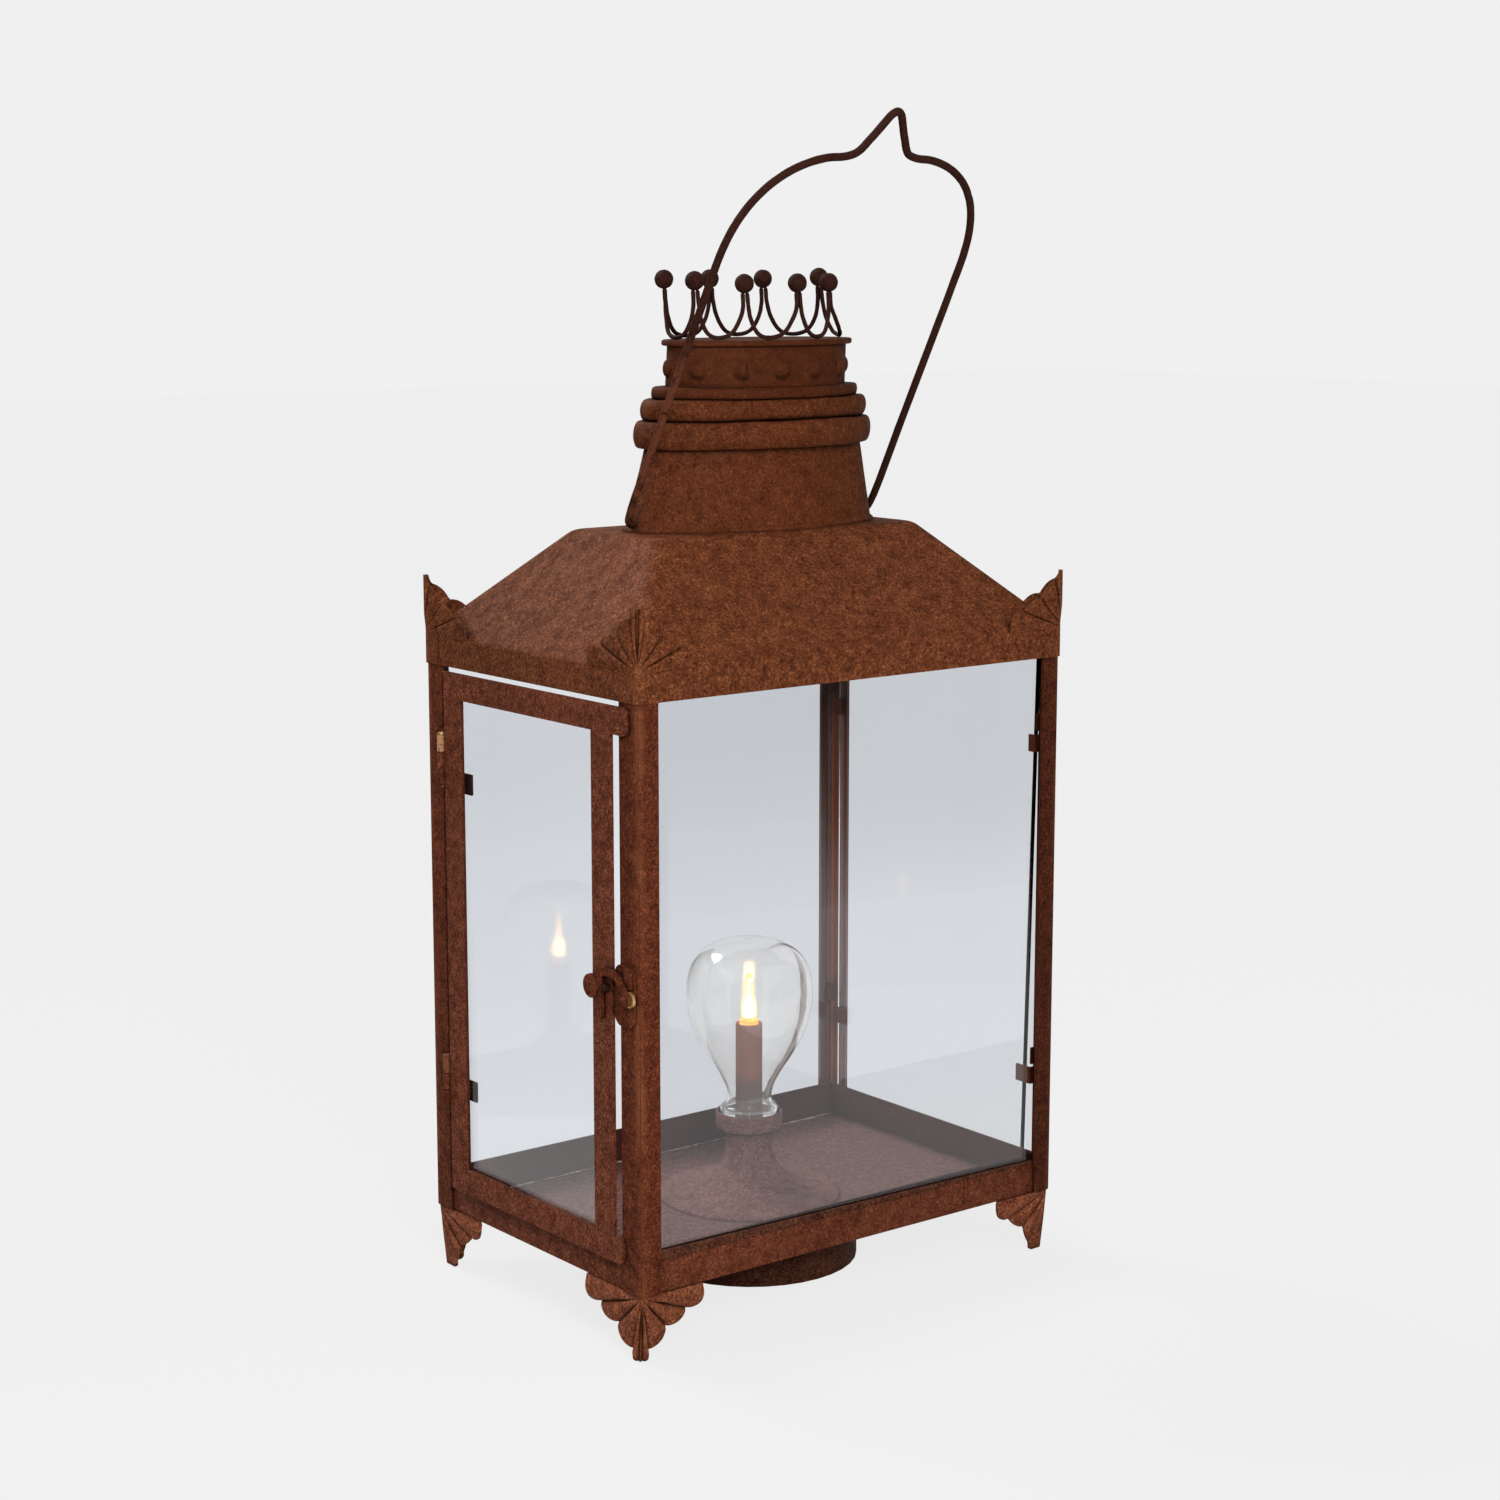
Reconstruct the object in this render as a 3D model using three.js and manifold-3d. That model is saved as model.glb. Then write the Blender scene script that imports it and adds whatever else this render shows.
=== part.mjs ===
// An LED lantern: a rusted sheet-metal box with glass sides, a hinged door on its left end with a hook latch,
// a hipped roof, an oval chimney under a wire crown, a wire bail, and a battery lamp with an open glass bulb.
// Millimetres, +Z up. The origin is on the table, under the middle of the box. The door is on the -X end.
import * as THREE from "three";
import { mergeVertices } from "three/addons/utils/BufferGeometryUtils.js";
import Module from "manifold-3d";

const wasm = await Module();
wasm.setup();

// Box
const BODY_WIDTH = 180; // outside of the posts, along X
const BODY_DEPTH = 122; // outside of the posts, along Y
const FOOT_HEIGHT = 21.7; // table to the underside of the tray
const POST_HEIGHT = 191.1; // underside of the tray to the eave
const POST_SHEET = 1.0;
const POST_END_LEG = 10; // the leg that lies on an end face
const POST_SIDE_LEG = 8; // the leg that lies on a long side
const POST_BEND = 2; // outer radius of the fold
const TONGUE_HEIGHT = 8.8; // the part of a post that runs up inside the eave band
const TONGUE_LAP = 8.8; // how far it runs down inside the post
const CLEARANCE = 0.3;
const WELD_LAP = 0.2; // how far joined bits of one piece run into each other
const TOOL_REACH = 4; // how far a cutting tool runs past the sheet that it cuts

// Tray
const TRAY_SHEET = 1.0;
const TRAY_ROUND = 1.2; // its corners, inside the posts' folds
const BAND_HEIGHT = 10.5;
const RAIL_HEIGHT = 13.5; // inner rail that holds the panes
const RAIL_SHEET = 0.8;
const WIRE_HOLE = 6; // diameter, for the lamp's wires

// Glass
const GLASS = 2;
const PANE_LAP = 4.2; // how far a pane runs up inside the eave band
const PANE_SIDE_MARGIN = 4.6; // front and back panes stop this far from the end faces
const PANE_END_MARGIN = 8; // the end pane stops this far from the long sides
const PANE_END_SHORT = 4.6; // the end pane is cut out of square: this much shorter at its lower front corner
const CLIP_SHEET = 0.8;
const CLIP_HEIGHT = 6;
const CLIP_REACH = 2.4; // how far a side clip lies over its pane
const CLIP_END_REACH = 6.2; // and a lower clip over the end pane, which is cut short there
const CLIP_FROM_TRAY = 45; // lower clips, above the tray's underside
const CLIP_FROM_EAVE = 27; // upper clips
const CLIP_STAGGER = 4; // side and end clips sit above and below each other

// Feet and eave ornaments: one scalloped stamping, used twice
const BRACKET_SHEET = 1.2;
const BRACKET_END_SPREAD = 26.5; // length of the wing along the end face
const BRACKET_SIDE_SPREAD = 24.5; // and of the wing along the long side
const BRACKET_TIP = 2.6; // width of the tip
const FOOT_INSET = 0.3; // behind the post's face
const FOOT_LEAN = [0.07, 0.07]; // inward along X and Y, per mm of drop
const BENT_FOOT_SPREAD = 30.5; // the front left foot has a wider end wing
const BENT_FOOT_LEAN = [0.01, 0.07]; // and is bent out again
const ORNAMENT_SHEET = 0.7;
const ORNAMENT_HEIGHT = 20;
const SKIRT_WIDTH = 9; // part of the ornament that wraps the eave band
const LOBE_WING = [26.5, 20]; // length and height of the wing that the lobes are drawn on
const LOBE_ENDS = [[26.5, 0], [19.6, 6.8], [11.1, 10.8], [3.6, 16.8]]; // along the face and away from the box
const LOBE_BULGES = [3.2, 1.3, 1.25]; // how far a lobe swells beyond a straight line

// Roof
const EAVE_HEIGHT = 9.8;
const EAVE_PROUD = 0.3;
const EAVE_ROUND = 1.6;
const ROOF_SHEET = 1.0;
const ROOF_RISE = 36.2;
const ROOF_TOP_WIDTH = 111;
const ROOF_TOP_DEPTH = 49.5;
const ROOF_TOP_ROUND = 5; // radius of the bend between slope and top
const HIP_ROUND = 4;

// Chimney: ovals given as half width and half depth
const CHIMNEY_OFFSET = 2.2; // it stands a little to the right of the middle
const CHIMNEY_LEAN = 0.05; // and leans, mm per mm of height
const OVAL_SEGMENTS = 32;
const NECK_SHEET = 1.2;
const NECK_HEIGHT = 27;
const NECK_BASE = [50, 23];
const NECK_TOP = [43.5, 20.9];
const LARGE_RING = [47.2, 25.3];
const LARGE_RING_HEIGHT = 9;
const MIDDLE_RING = [45, 23];
const MIDDLE_RING_HEIGHT = 7;
const RING_REACH = 6; // flange of a rolled ring, from its crown inward
const RING_SHEET = 1.0;
const RING_ROLL = 1.8; // how far the flanges are set back from the crown
const COLLAR_STEP = [40.9, 21.4];
const COLLAR_STEP_HEIGHT = 4;
const COLLAR_STEP_ROUND = 0.7; // its edges lie this far behind its crown
const COLLAR = [35.1, 20.1];
const COLLAR_HEIGHT = 13.5;
const COLLAR_SHEET = 1.2;
const BOSS_COUNT = 12;
const BOSS_PHASE = 0.055; // of a turn
const BOSS_HEIGHT = 6.2; // centres, above the step
const BOSS_RADIUS = 2.5;
const BOSS_PROUD = 1.0;
const CROWN_PLATE = [37, 22];
const CROWN_PLATE_SHEET = 1.9;

// Crown
const CROWN_OFFSET = 1.9; // from the chimney's foot to the middle of the crown's foot
const CROWN_LEAN = 1.6; // to the left, over its height
const CROWN_OVAL = [33.2, 20.8];
const BALL_ANGLES = [11, 56, 93, 150, 204, 239, 275, 306]; // degrees round the oval, uneven as bent by hand
const BALL_HEIGHTS = [20.3, 19.7, 19.8, 19.8, 19.4, 18.5, 18.6, 18.7]; // centres, above the plate
const LOOP_ANGLES = [38, 76, 115, 180, 219, 252, 289, 345]; // lowest point of the loop after each ball
const BALL_RADIUS = 3.2;
const CROWN_WIRE = 0.6; // radius
const LOOP_BOTTOM = 5.4; // half width of a loop near the plate
const LEG_RUN = 5; // two legs run side by side this far below their ball

// Bail
const BAIL_WIRE = 1.3; // radius
const BAIL_LEAN = 29.4; // degrees towards -Y, as it stands in the photograph
const BAIL_HALF_WIDTH = 52;
const BAIL_PIVOT_HEIGHT = 2.6; // above the roof's top
const BAIL_BEND = 2.6;
const BAIL_PIN_REACH = 6.5; // from the leg's middle to the pin's end
const BAIL_SHOULDER = [
  [51.8, 40], [51.3, 88], [50.8, 102], [49, 111], [45, 119.6],
  [38.4, 127], [30.2, 132], [21.8, 134.5], [14.4, 135.2],
]; // half outline of the wire, from the leg to the foot of the point
const BAIL_POINT = [[10.4, 136.8], [7.2, 141.2], [4.2, 146.2], [1.8, 150]];
const BAIL_PEAK = 151;

// Door
const DOOR_SHEET = 1.2;
const DOOR_GAP = 0.3; // between the door's sheet and the posts
const DOOR_HINGE_EDGE = BODY_DEPTH / 2 - 13.2; // y of the hinge stile's outer edge
const DOOR_LATCH_EDGE = 12.6 - BODY_DEPTH / 2;
const DOOR_BOTTOM = 9.3; // above the tray's underside
const DOOR_TOP = POST_HEIGHT - 1.5;
const HINGE_STILE = 10.4;
const LATCH_STILE = 10.5;
const DOOR_RAIL = 8.9;
const LIP_TOP_REACH = 8.4; // closing lips, beyond the latch stile
const LIP_BOTTOM_REACH = 4.6;
const LIP_ROUND = 2;
const DOOR_PANE_LAP = 4.8; // how far the pane runs behind the frame
const DOOR_CLIP_FROM_TRAY = 45.5; // lower clips, above the tray's underside
const DOOR_CLIP_FROM_EAVE = 39; // upper clips
const DOOR_CLIP_HEIGHT = 7;
const DOOR_CLIP_SHOW = 2.2; // how far the hinge side's clips show in the opening

// Hinges
const HINGE_FROM_TRAY = 47; // middle of the lower hinge, above the tray's underside
const HINGE_FROM_EAVE = 32;
const HINGE_Z = [HINGE_FROM_TRAY, POST_HEIGHT - HINGE_FROM_EAVE];
const HINGE_OUT = 1.6; // pin, outside the posts' face
const HINGE_Y = DOOR_HINGE_EDGE + 1.7;
const KNUCKLE_RADIUS = 1.5;
const KNUCKLE_LENGTH = 5.6;
const PIN_RADIUS = 0.6;
const PIN_HEAD_RADIUS = 1.3;
const PIN_HEAD = 0.8;
const LEAF_SHEET = 0.8;
const LEAF_WIDTH = 5.6;

// Latch: places are given as y and z from its rivet
const RIVET_Y = 3.5 - BODY_DEPTH / 2;
const RIVET_Z = 0.51 * POST_HEIGHT; // above the tray's underside
const RIVET_RADIUS = 0.9;
const RIVET_SHOULDER_RADIUS = 2.6;
const RIVET_HEAD_RADIUS = 1.5;
const RIVET_HEAD = 0.9;
const LATCH_PLATE_SHEET = 0.8;
const LATCH_PLATE_Y = [-1.8, 8.7];
const LATCH_PLATE_Z = [-9.6, 10.4];
const LATCH_PLATE_ROUND = 3.6;
const EAR_Y = [-0.9, 2.4]; // a strip stands on the plate above the rivet
const EAR_Z = [3.4, 9.8];
const EAR_SHEET = 0.9;
const HOOK_SHEET = 1.2;
const HOOK_GAP = 0.5; // between the hook and the door
const HOOK_WIDTH = 2.3;
const HOOK_EYE_RADIUS = 2;
const HOOK_LINE = [[0, 0], [1.1, 2.6], [3.1, 5.1], [6, 6.9], [9.4, 7.3], [12.4, 6.8], [14.4, 5]];
const HOOK_TAIL_Y = [12.6, 16.9]; // a wider bar hangs from the hook's end
const HOOK_TAIL_Z = [-8.7, 6.2];
const HOOK_TAIL_ROUND = 1.6;
const TAB_CENTRE = [17.9, 1.5];
const TAB_RADIUS = 3.9;
const TAB_SHEET = 1.8;
const STUD_CENTRE = [10.8, 2];
const STUD_RADIUS = 1.1;
const STUD_SHANK_RADIUS = 0.8;

// Battery box
const BATTERY_OFFSET = 2.2; // it sits a little to the right of the middle
const COVER_Z = 1.0; // the cover's underside is this far above the table
const HOUSING_RADIUS = 37.5;
const HOUSING_WALL = 1.2;
const COVER_SHEET = 1.6;
const COVER_LIP_HEIGHT = 3;
const COVER_LIP_WALL = 1.2;
const ROUND_SEGMENTS = 36;
const CELL_RADIUS = 7.1;
const CELL_LENGTH = 49;
const CELL_PITCH = 15.2;
const CELL_NUB_RADIUS = 2.7;
const CELL_NUB = 1;
const HOLDER_SHEET = 1.2;
const CONTACT_SHEET = 0.5;
const CONTACT_NUB = 1;
const SLIDER_Y = -28;
const SLIDER_LENGTH = 11;
const SLIDER_WIDTH = 6;
const SLIDER_SHEET = 1;
const SLIDER_TRAVEL = 3;
const THUMB_LENGTH = 3.4;
const THUMB_WIDTH = 3.2;
const THUMB_RECESS = 0.5; // behind the cover's face
const GUIDE_WALL = 0.8;

// Lamp
const LAMP_OFFSET = 0.8; // and so does the lamp
const LAMP_SEGMENTS = 24;
const LAMP_FOOT_LINE = [
  [32, 0], [31.6, 1], [25, 2.4], [17, 5], [11.6, 9], [8.8, 14.5], [8.2, 20.4], [8.9, 23.4],
]; // half outline, above the floor
const LAMP_FOOT_WALL = 1.1;
const CUP_HEIGHT = 6.2;
const CUP_RADIUS = 11.7;
const CUP_DEPTH = 2;
const CUP_WEB = 1.5;
const CUP_BASE = 24.3; // underside of the cup, above the floor
const TUBE_RADIUS = 4.67;
const TUBE_WALL = 0.95;
const TUBE_HEIGHT = 33.5;
const LED_LINE = [
  [3.1, 0.2], [3.1, 1.4], [2.6, 1.4], [2.55, 6.6], [2.1, 8.8], [1.35, 10], [1.45, 13], [1.2, 16], [0.6, 17.6],
];
const LED_HEIGHT = 18; // above the tube
const LED_HOLDER = 6; // length inside the tube
const BULB_WALL = 0.9;
const BULB_LINE = [
  [9.7, 0], [9.7, 1.6], [8.4, 3.4], [7.9, 6.6], [8.6, 11], [11, 16], [14.6, 21.6], [18.2, 28],
  [20.9, 35], [22.1, 42], [22.1, 46.5], [20.9, 53], [17.6, 58.3], [12.2, 61.8], [6, 63.3],
]; // outside of the glass, above the cup's web
const BULB_HEIGHT = 63.7;

// Levels and places that follow
const COVER_TOP = COVER_Z + COVER_SHEET;
const TRAY_Z = FOOT_HEIGHT;
const FLOOR_Z = TRAY_Z + TRAY_SHEET;
const EAVE_Z = TRAY_Z + POST_HEIGHT;
const ROOF_FOLD_Z = EAVE_Z + EAVE_HEIGHT;
const ROOF_TOP_Z = ROOF_FOLD_Z + ROOF_RISE;
const PANE_OUT = POST_SHEET + TRAY_SHEET + CLEARANCE; // outer face of a pane, from the posts' face
const PANE_IN = PANE_OUT + GLASS;
const RAIL_OUT = PANE_IN + CLEARANCE;
const PANE_TOP_Z = EAVE_Z + PANE_LAP;
const DOOR_IN_X = -BODY_WIDTH / 2 - DOOR_GAP;
const DOOR_OUT_X = DOOR_IN_X - DOOR_SHEET;
const PLATE_OUT_X = -BODY_WIDTH / 2 - LATCH_PLATE_SHEET;
const HOOK_IN_X = DOOR_OUT_X - HOOK_GAP;
const HOOK_OUT_X = HOOK_IN_X - HOOK_SHEET;
const TAB_OUT_X = HOOK_IN_X - TAB_SHEET;
const LARGE_RING_Z = NECK_HEIGHT;
const MIDDLE_RING_Z = LARGE_RING_Z + LARGE_RING_HEIGHT;
const COLLAR_STEP_Z = MIDDLE_RING_Z + MIDDLE_RING_HEIGHT;
const COLLAR_Z = COLLAR_STEP_Z + COLLAR_STEP_HEIGHT;
const CROWN_PLATE_Z = COLLAR_Z + COLLAR_HEIGHT;
const CROWN_Z = CROWN_PLATE_Z + CROWN_PLATE_SHEET;
const CELL_Z = COVER_TOP + HOLDER_SHEET + CLEARANCE + CELL_RADIUS;
const CUP_WEB_TOP = FLOOR_Z + CUP_BASE + CUP_HEIGHT - CUP_DEPTH;

// Materials
const metal = (name, color, roughness, metalness) => {
  const material = new THREE.MeshStandardMaterial({ color, roughness, metalness });
  material.name = name;
  return material;
};
const rust = metal("rusted_sheet", 0x6a3c2a, 0.85, 0.25);
const darkRust = metal("dark_rusted_wire", 0x44291e, 0.8, 0.3);
const brass = metal("worn_brass", 0xb08a4e, 0.45, 0.8);
const cellSteel = metal("cell_jacket", 0x8a8d90, 0.4, 0.6);
const spring = metal("nickel_contact", 0xb9b6ad, 0.35, 0.9);
const plastic = metal("black_plastic", 0x1c1c1c, 0.55, 0);
const amber = metal("led_amber", 0xffb347, 0.3, 0);
const glass = new THREE.MeshStandardMaterial({
  name: "clear_glass",
  color: 0xcbd0d9,
  roughness: 0.05,
  metalness: 0,
  transparent: true,
  opacity: 0.3,
});

// Solids: joins and cuts

// A closed geometry as a solid. Its vertices are merged on position alone.
function solid(geometry) {
  const bare = geometry.clone();
  bare.deleteAttribute("normal");
  bare.deleteAttribute("uv");
  const merged = mergeVertices(bare, 1e-4);
  const triVerts = new Uint32Array(merged.index.array);
  const vertProperties = merged.attributes.position.array;
  return new wasm.Manifold(new wasm.Mesh({ numProp: 3, vertProperties, triVerts }));
}

function geometryOf(made) {
  const mesh = made.getMesh();
  const positions = new Float32Array(mesh.numVert * 3);
  for (let i = 0; i < mesh.numVert; i++) {
    for (let k = 0; k < 3; k++) positions[3 * i + k] = mesh.vertProperties[mesh.numProp * i + k];
  }
  const geometry = new THREE.BufferGeometry();
  geometry.setAttribute("position", new THREE.BufferAttribute(positions, 3));
  geometry.setIndex(new THREE.BufferAttribute(new Uint32Array(mesh.triVerts), 1));
  geometry.computeVertexNormals();
  return geometry;
}

function join(...geometries) {
  return geometryOf(geometries.map(solid).reduce((a, b) => a.add(b)));
}

function cut(geometry, ...tools) {
  return geometryOf(tools.map(solid).reduce((a, b) => a.subtract(b), solid(geometry)));
}

// Plain forms

function box(x0, x1, y0, y1, z0, z1) {
  const geometry = new THREE.BoxGeometry(Math.abs(x1 - x0), Math.abs(y1 - y0), Math.abs(z1 - z0));
  return geometry.translate((x0 + x1) / 2, (y0 + y1) / 2, (z0 + z1) / 2);
}

// A flat outline, as thick as asked, from z = 0 up.
function slab(shape, thickness, curveSegments = 4) {
  return new THREE.ExtrudeGeometry(shape, { depth: thickness, bevelEnabled: false, curveSegments });
}

// Turns a form made in XY with its height on Z, so that its X lies on +Y, its Y on +Z and its Z on +X.
function standOnEndFace(geometry) {
  const axes = [new THREE.Vector3(0, 1, 0), new THREE.Vector3(0, 0, 1), new THREE.Vector3(1, 0, 0)];
  return geometry.applyMatrix4(new THREE.Matrix4().makeBasis(...axes));
}

// A round piece on the Z axis. Its outline runs from the axis at the bottom, outside and back to the axis
// at the top, or for a ring anticlockwise round its section.
function turned(outline, segments = ROUND_SEGMENTS) {
  const lathe = new THREE.LatheGeometry(outline.map(([r, z]) => new THREE.Vector2(r, z)), segments);
  return lathe.rotateX(Math.PI / 2);
}

function cylinder(radius, z0, z1, segments = 16) {
  return turned([[0, z0], [radius, z0], [radius, z1], [0, z1]], segments);
}

// A ring of points joined to the next ring, from the first to the last; closed round or capped at its ends.
function loft(rings, { closed }) {
  const count = rings[0].length;
  const positions = rings.flat().flatMap((p) => [p.x, p.y, p.z]);
  const index = [];
  const bands = closed ? rings.length : rings.length - 1;
  for (let r = 0; r < bands; r++) {
    const low = r * count;
    const high = ((r + 1) % rings.length) * count;
    for (let i = 0; i < count; i++) {
      const j = (i + 1) % count;
      index.push(low + i, low + j, high + j, low + i, high + j, high + i);
    }
  }
  if (!closed) {
    const top = (rings.length - 1) * count;
    for (let i = 1; i < count - 1; i++) {
      index.push(0, i + 1, i);
      index.push(top, top + i, top + i + 1);
    }
  }
  const geometry = new THREE.BufferGeometry();
  geometry.setAttribute("position", new THREE.Float32BufferAttribute(positions, 3));
  geometry.setIndex(index);
  return geometry;
}

function ovalRing([halfWidth, halfDepth], z, inset = 0) {
  return Array.from({ length: OVAL_SEGMENTS }, (_, i) => {
    const t = (2 * Math.PI * i) / OVAL_SEGMENTS;
    return new THREE.Vector3((halfWidth - inset) * Math.cos(t), (halfDepth - inset) * Math.sin(t), z);
  });
}

// A rectangle with round corners, anticlockwise seen from above.
function roundedRing(halfWidth, halfDepth, radius, z, steps = 3) {
  const points = [];
  for (const [sx, sy, start] of [[1, 1, 0], [-1, 1, 90], [-1, -1, 180], [1, -1, 270]]) {
    for (let i = 0; i <= steps; i++) {
      const t = THREE.MathUtils.degToRad(start + (90 * i) / steps);
      const x = sx * (halfWidth - radius) + radius * Math.cos(t);
      const y = sy * (halfDepth - radius) + radius * Math.sin(t);
      points.push(new THREE.Vector3(x, y, z));
    }
  }
  return points;
}

// A path swept station by station, so that a tight bend has as many rings as a long run.
class Stations extends THREE.Curve {
  constructor(points) {
    super();
    this.points = points;
  }
  getPoint(t, target = new THREE.Vector3()) {
    return target.copy(this.points[Math.round(t * (this.points.length - 1))]);
  }
  getPointAt(t, target) {
    return this.getPoint(t, target);
  }
  getTangentAt(t, target = new THREE.Vector3()) {
    const i = Math.round(t * (this.points.length - 1));
    const before = this.points[Math.max(i - 1, 0)];
    const here = this.points[i];
    const after = this.points[Math.min(i + 1, this.points.length - 1)];
    const arriving = here.clone().sub(before).normalize();
    const leaving = after.clone().sub(here).normalize();
    return target.addVectors(arriving, leaving).normalize();
  }
}

// A round wire through control points.
function wire(controls, radius, sides, stepsPerSpan) {
  const line = new THREE.CatmullRomCurve3(controls, false, "centripetal");
  const stations = line.getPoints(stepsPerSpan * (controls.length - 1));
  const section = new THREE.Shape();
  for (let i = 0; i < sides; i++) {
    const t = (2 * Math.PI * i) / sides;
    const corner = [radius * Math.cos(t), radius * Math.sin(t)];
    if (i === 0) section.moveTo(...corner);
    else section.lineTo(...corner);
  }
  section.closePath();
  const extrudePath = new Stations(stations);
  return new THREE.ExtrudeGeometry(section, { steps: stations.length - 1, extrudePath });
}

// A flat strap of even width along a line, as an outline.
function strapOutline(line, width, samples = 14) {
  const curve = new THREE.SplineCurve(line.map(([x, y]) => new THREE.Vector2(x, y)));
  const sides = [[], []];
  for (let i = 0; i <= samples; i++) {
    const point = curve.getPointAt(i / samples);
    const tangent = curve.getTangentAt(i / samples);
    const across = new THREE.Vector2(-tangent.y, tangent.x).multiplyScalar(width / 2);
    sides[0].push(point.clone().add(across));
    sides[1].unshift(point.clone().sub(across));
  }
  return new THREE.Shape([...sides[0], ...sides[1]]);
}

// The lantern as a tree: the box's four corners are mirrored groups
const lantern = new THREE.Group();

function add(parent, name, geometry, material) {
  const mesh = new THREE.Mesh(geometry, material);
  mesh.name = name;
  parent.add(mesh);
  return mesh;
}

// Tray

function tray() {
  const x = BODY_WIDTH / 2 - POST_SHEET;
  const y = BODY_DEPTH / 2 - POST_SHEET;
  const top = TRAY_Z + BAND_HEIGHT;
  const pan = loft(
    [
      roundedRing(x, y, TRAY_ROUND, TRAY_Z),
      roundedRing(x, y, TRAY_ROUND, top),
      roundedRing(x - TRAY_SHEET, y - TRAY_SHEET, TRAY_ROUND / 3, top),
      roundedRing(x - TRAY_SHEET, y - TRAY_SHEET, TRAY_ROUND / 3, FLOOR_Z),
    ],
    { closed: false },
  );
  const railX = BODY_WIDTH / 2 - RAIL_OUT;
  const railY = BODY_DEPTH / 2 - RAIL_OUT;
  const railTop = TRAY_Z + RAIL_HEIGHT;
  const rails = [
    box(-x + TRAY_SHEET / 2, railX, -railY, -railY + RAIL_SHEET, TRAY_Z, railTop),
    box(-x + TRAY_SHEET / 2, railX, railY - RAIL_SHEET, railY, TRAY_Z, railTop),
    box(railX - RAIL_SHEET, railX, -railY, railY, TRAY_Z, railTop),
  ];
  const hole = cylinder(WIRE_HOLE / 2, TRAY_Z - TOOL_REACH, FLOOR_Z + TOOL_REACH);
  return cut(join(pan, ...rails), hole.translate(LAMP_OFFSET, 0, 0));
}

// Corners. In a corner's own frame x runs inward from the end face and y inward from the long side.

function cornerOutline(inset, sheet, endLeg, sideLeg, bend) {
  const shape = new THREE.Shape();
  const outer = inset + bend;
  const inner = inset + sheet;
  shape.moveTo(inset, endLeg);
  shape.lineTo(inset, outer);
  shape.absarc(outer, outer, bend, Math.PI, 1.5 * Math.PI, false);
  shape.lineTo(sideLeg, inset);
  shape.lineTo(sideLeg, inner);
  shape.lineTo(outer, inner);
  shape.absarc(outer, outer, bend - sheet, 1.5 * Math.PI, Math.PI, true);
  shape.lineTo(inner, endLeg);
  shape.closePath();
  return shape;
}

// A glass clip: it leaves the post, passes the pane's edge and lies over the pane's inner face.
// It is drawn for a side pane; an end pane's clip is the same with x and y exchanged.
function clip(edge, middleZ, reach, onEnd) {
  const leg = [edge - CLEARANCE - CLIP_SHEET, edge - CLEARANCE];
  const face = [RAIL_OUT, RAIL_OUT + CLIP_SHEET];
  const root = POST_SHEET - WELD_LAP;
  const z = [middleZ - CLIP_HEIGHT / 2, middleZ + CLIP_HEIGHT / 2];
  const arm = onEnd ? box(root, face[1], ...leg, ...z) : box(...leg, root, face[1], ...z);
  const hand = onEnd ? box(...face, leg[0], edge + reach, ...z) : box(leg[0], edge + reach, ...face, ...z);
  return join(arm, hand);
}

function postKnuckles() {
  const y = BODY_DEPTH / 2 - HINGE_Y;
  const pieces = [];
  for (const middle of HINGE_Z) {
    for (const side of [-1, 1]) {
      const z = TRAY_Z + middle + side * (KNUCKLE_LENGTH + CLEARANCE);
      const z0 = z - KNUCKLE_LENGTH / 2;
      const z1 = z + KNUCKLE_LENGTH / 2;
      const barrel = cylinder(KNUCKLE_RADIUS, z0, z1, 14).translate(-HINGE_OUT, y, 0);
      const leafEnd = y - PIN_RADIUS;
      pieces.push(join(barrel, box(-LEAF_SHEET, WELD_LAP, leafEnd - LEAF_WIDTH, leafEnd, z0, z1)));
    }
  }
  return pieces;
}

function hingeBore(x, y) {
  const reach = 2 * KNUCKLE_LENGTH;
  return HINGE_Z.map((z) => {
    const middle = TRAY_Z + z;
    return cylinder(PIN_RADIUS + CLEARANCE, middle - reach, middle + reach, 14).translate(x, y, 0);
  });
}

function post({ hinged, latched, sideClips, endClips }) {
  const outline = cornerOutline(0, POST_SHEET, POST_END_LEG, POST_SIDE_LEG, POST_BEND);
  const inset = POST_SHEET - WELD_LAP / 2;
  const tongue = cornerOutline(inset, POST_SHEET, POST_END_LEG - 1, POST_SIDE_LEG - 1, POST_BEND - inset);
  const pieces = [
    slab(outline, POST_HEIGHT).translate(0, 0, TRAY_Z),
    slab(tongue, TONGUE_LAP + TONGUE_HEIGHT).translate(0, 0, EAVE_Z - TONGUE_LAP),
  ];
  const lowerClips = [TRAY_Z + CLIP_FROM_TRAY, CLIP_END_REACH];
  const upperClips = [EAVE_Z - CLIP_FROM_EAVE, CLIP_REACH];
  for (const [z, endReach] of [lowerClips, upperClips]) {
    if (sideClips) pieces.push(clip(PANE_SIDE_MARGIN, z + CLIP_STAGGER, CLIP_REACH, false));
    if (endClips) pieces.push(clip(PANE_END_MARGIN, z - CLIP_STAGGER, endReach, true));
  }
  if (hinged) pieces.push(...postKnuckles());
  let made = join(...pieces);
  if (hinged) made = cut(made, ...hingeBore(-HINGE_OUT, BODY_DEPTH / 2 - HINGE_Y));
  if (latched) {
    const hole = cylinder(RIVET_RADIUS + CLEARANCE, -TOOL_REACH, TOOL_REACH, 14);
    made = cut(made, standOnEndFace(hole).translate(0, RIVET_Y + BODY_DEPTH / 2, TRAY_Z + RIVET_Z));
  }
  return made;
}

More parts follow.
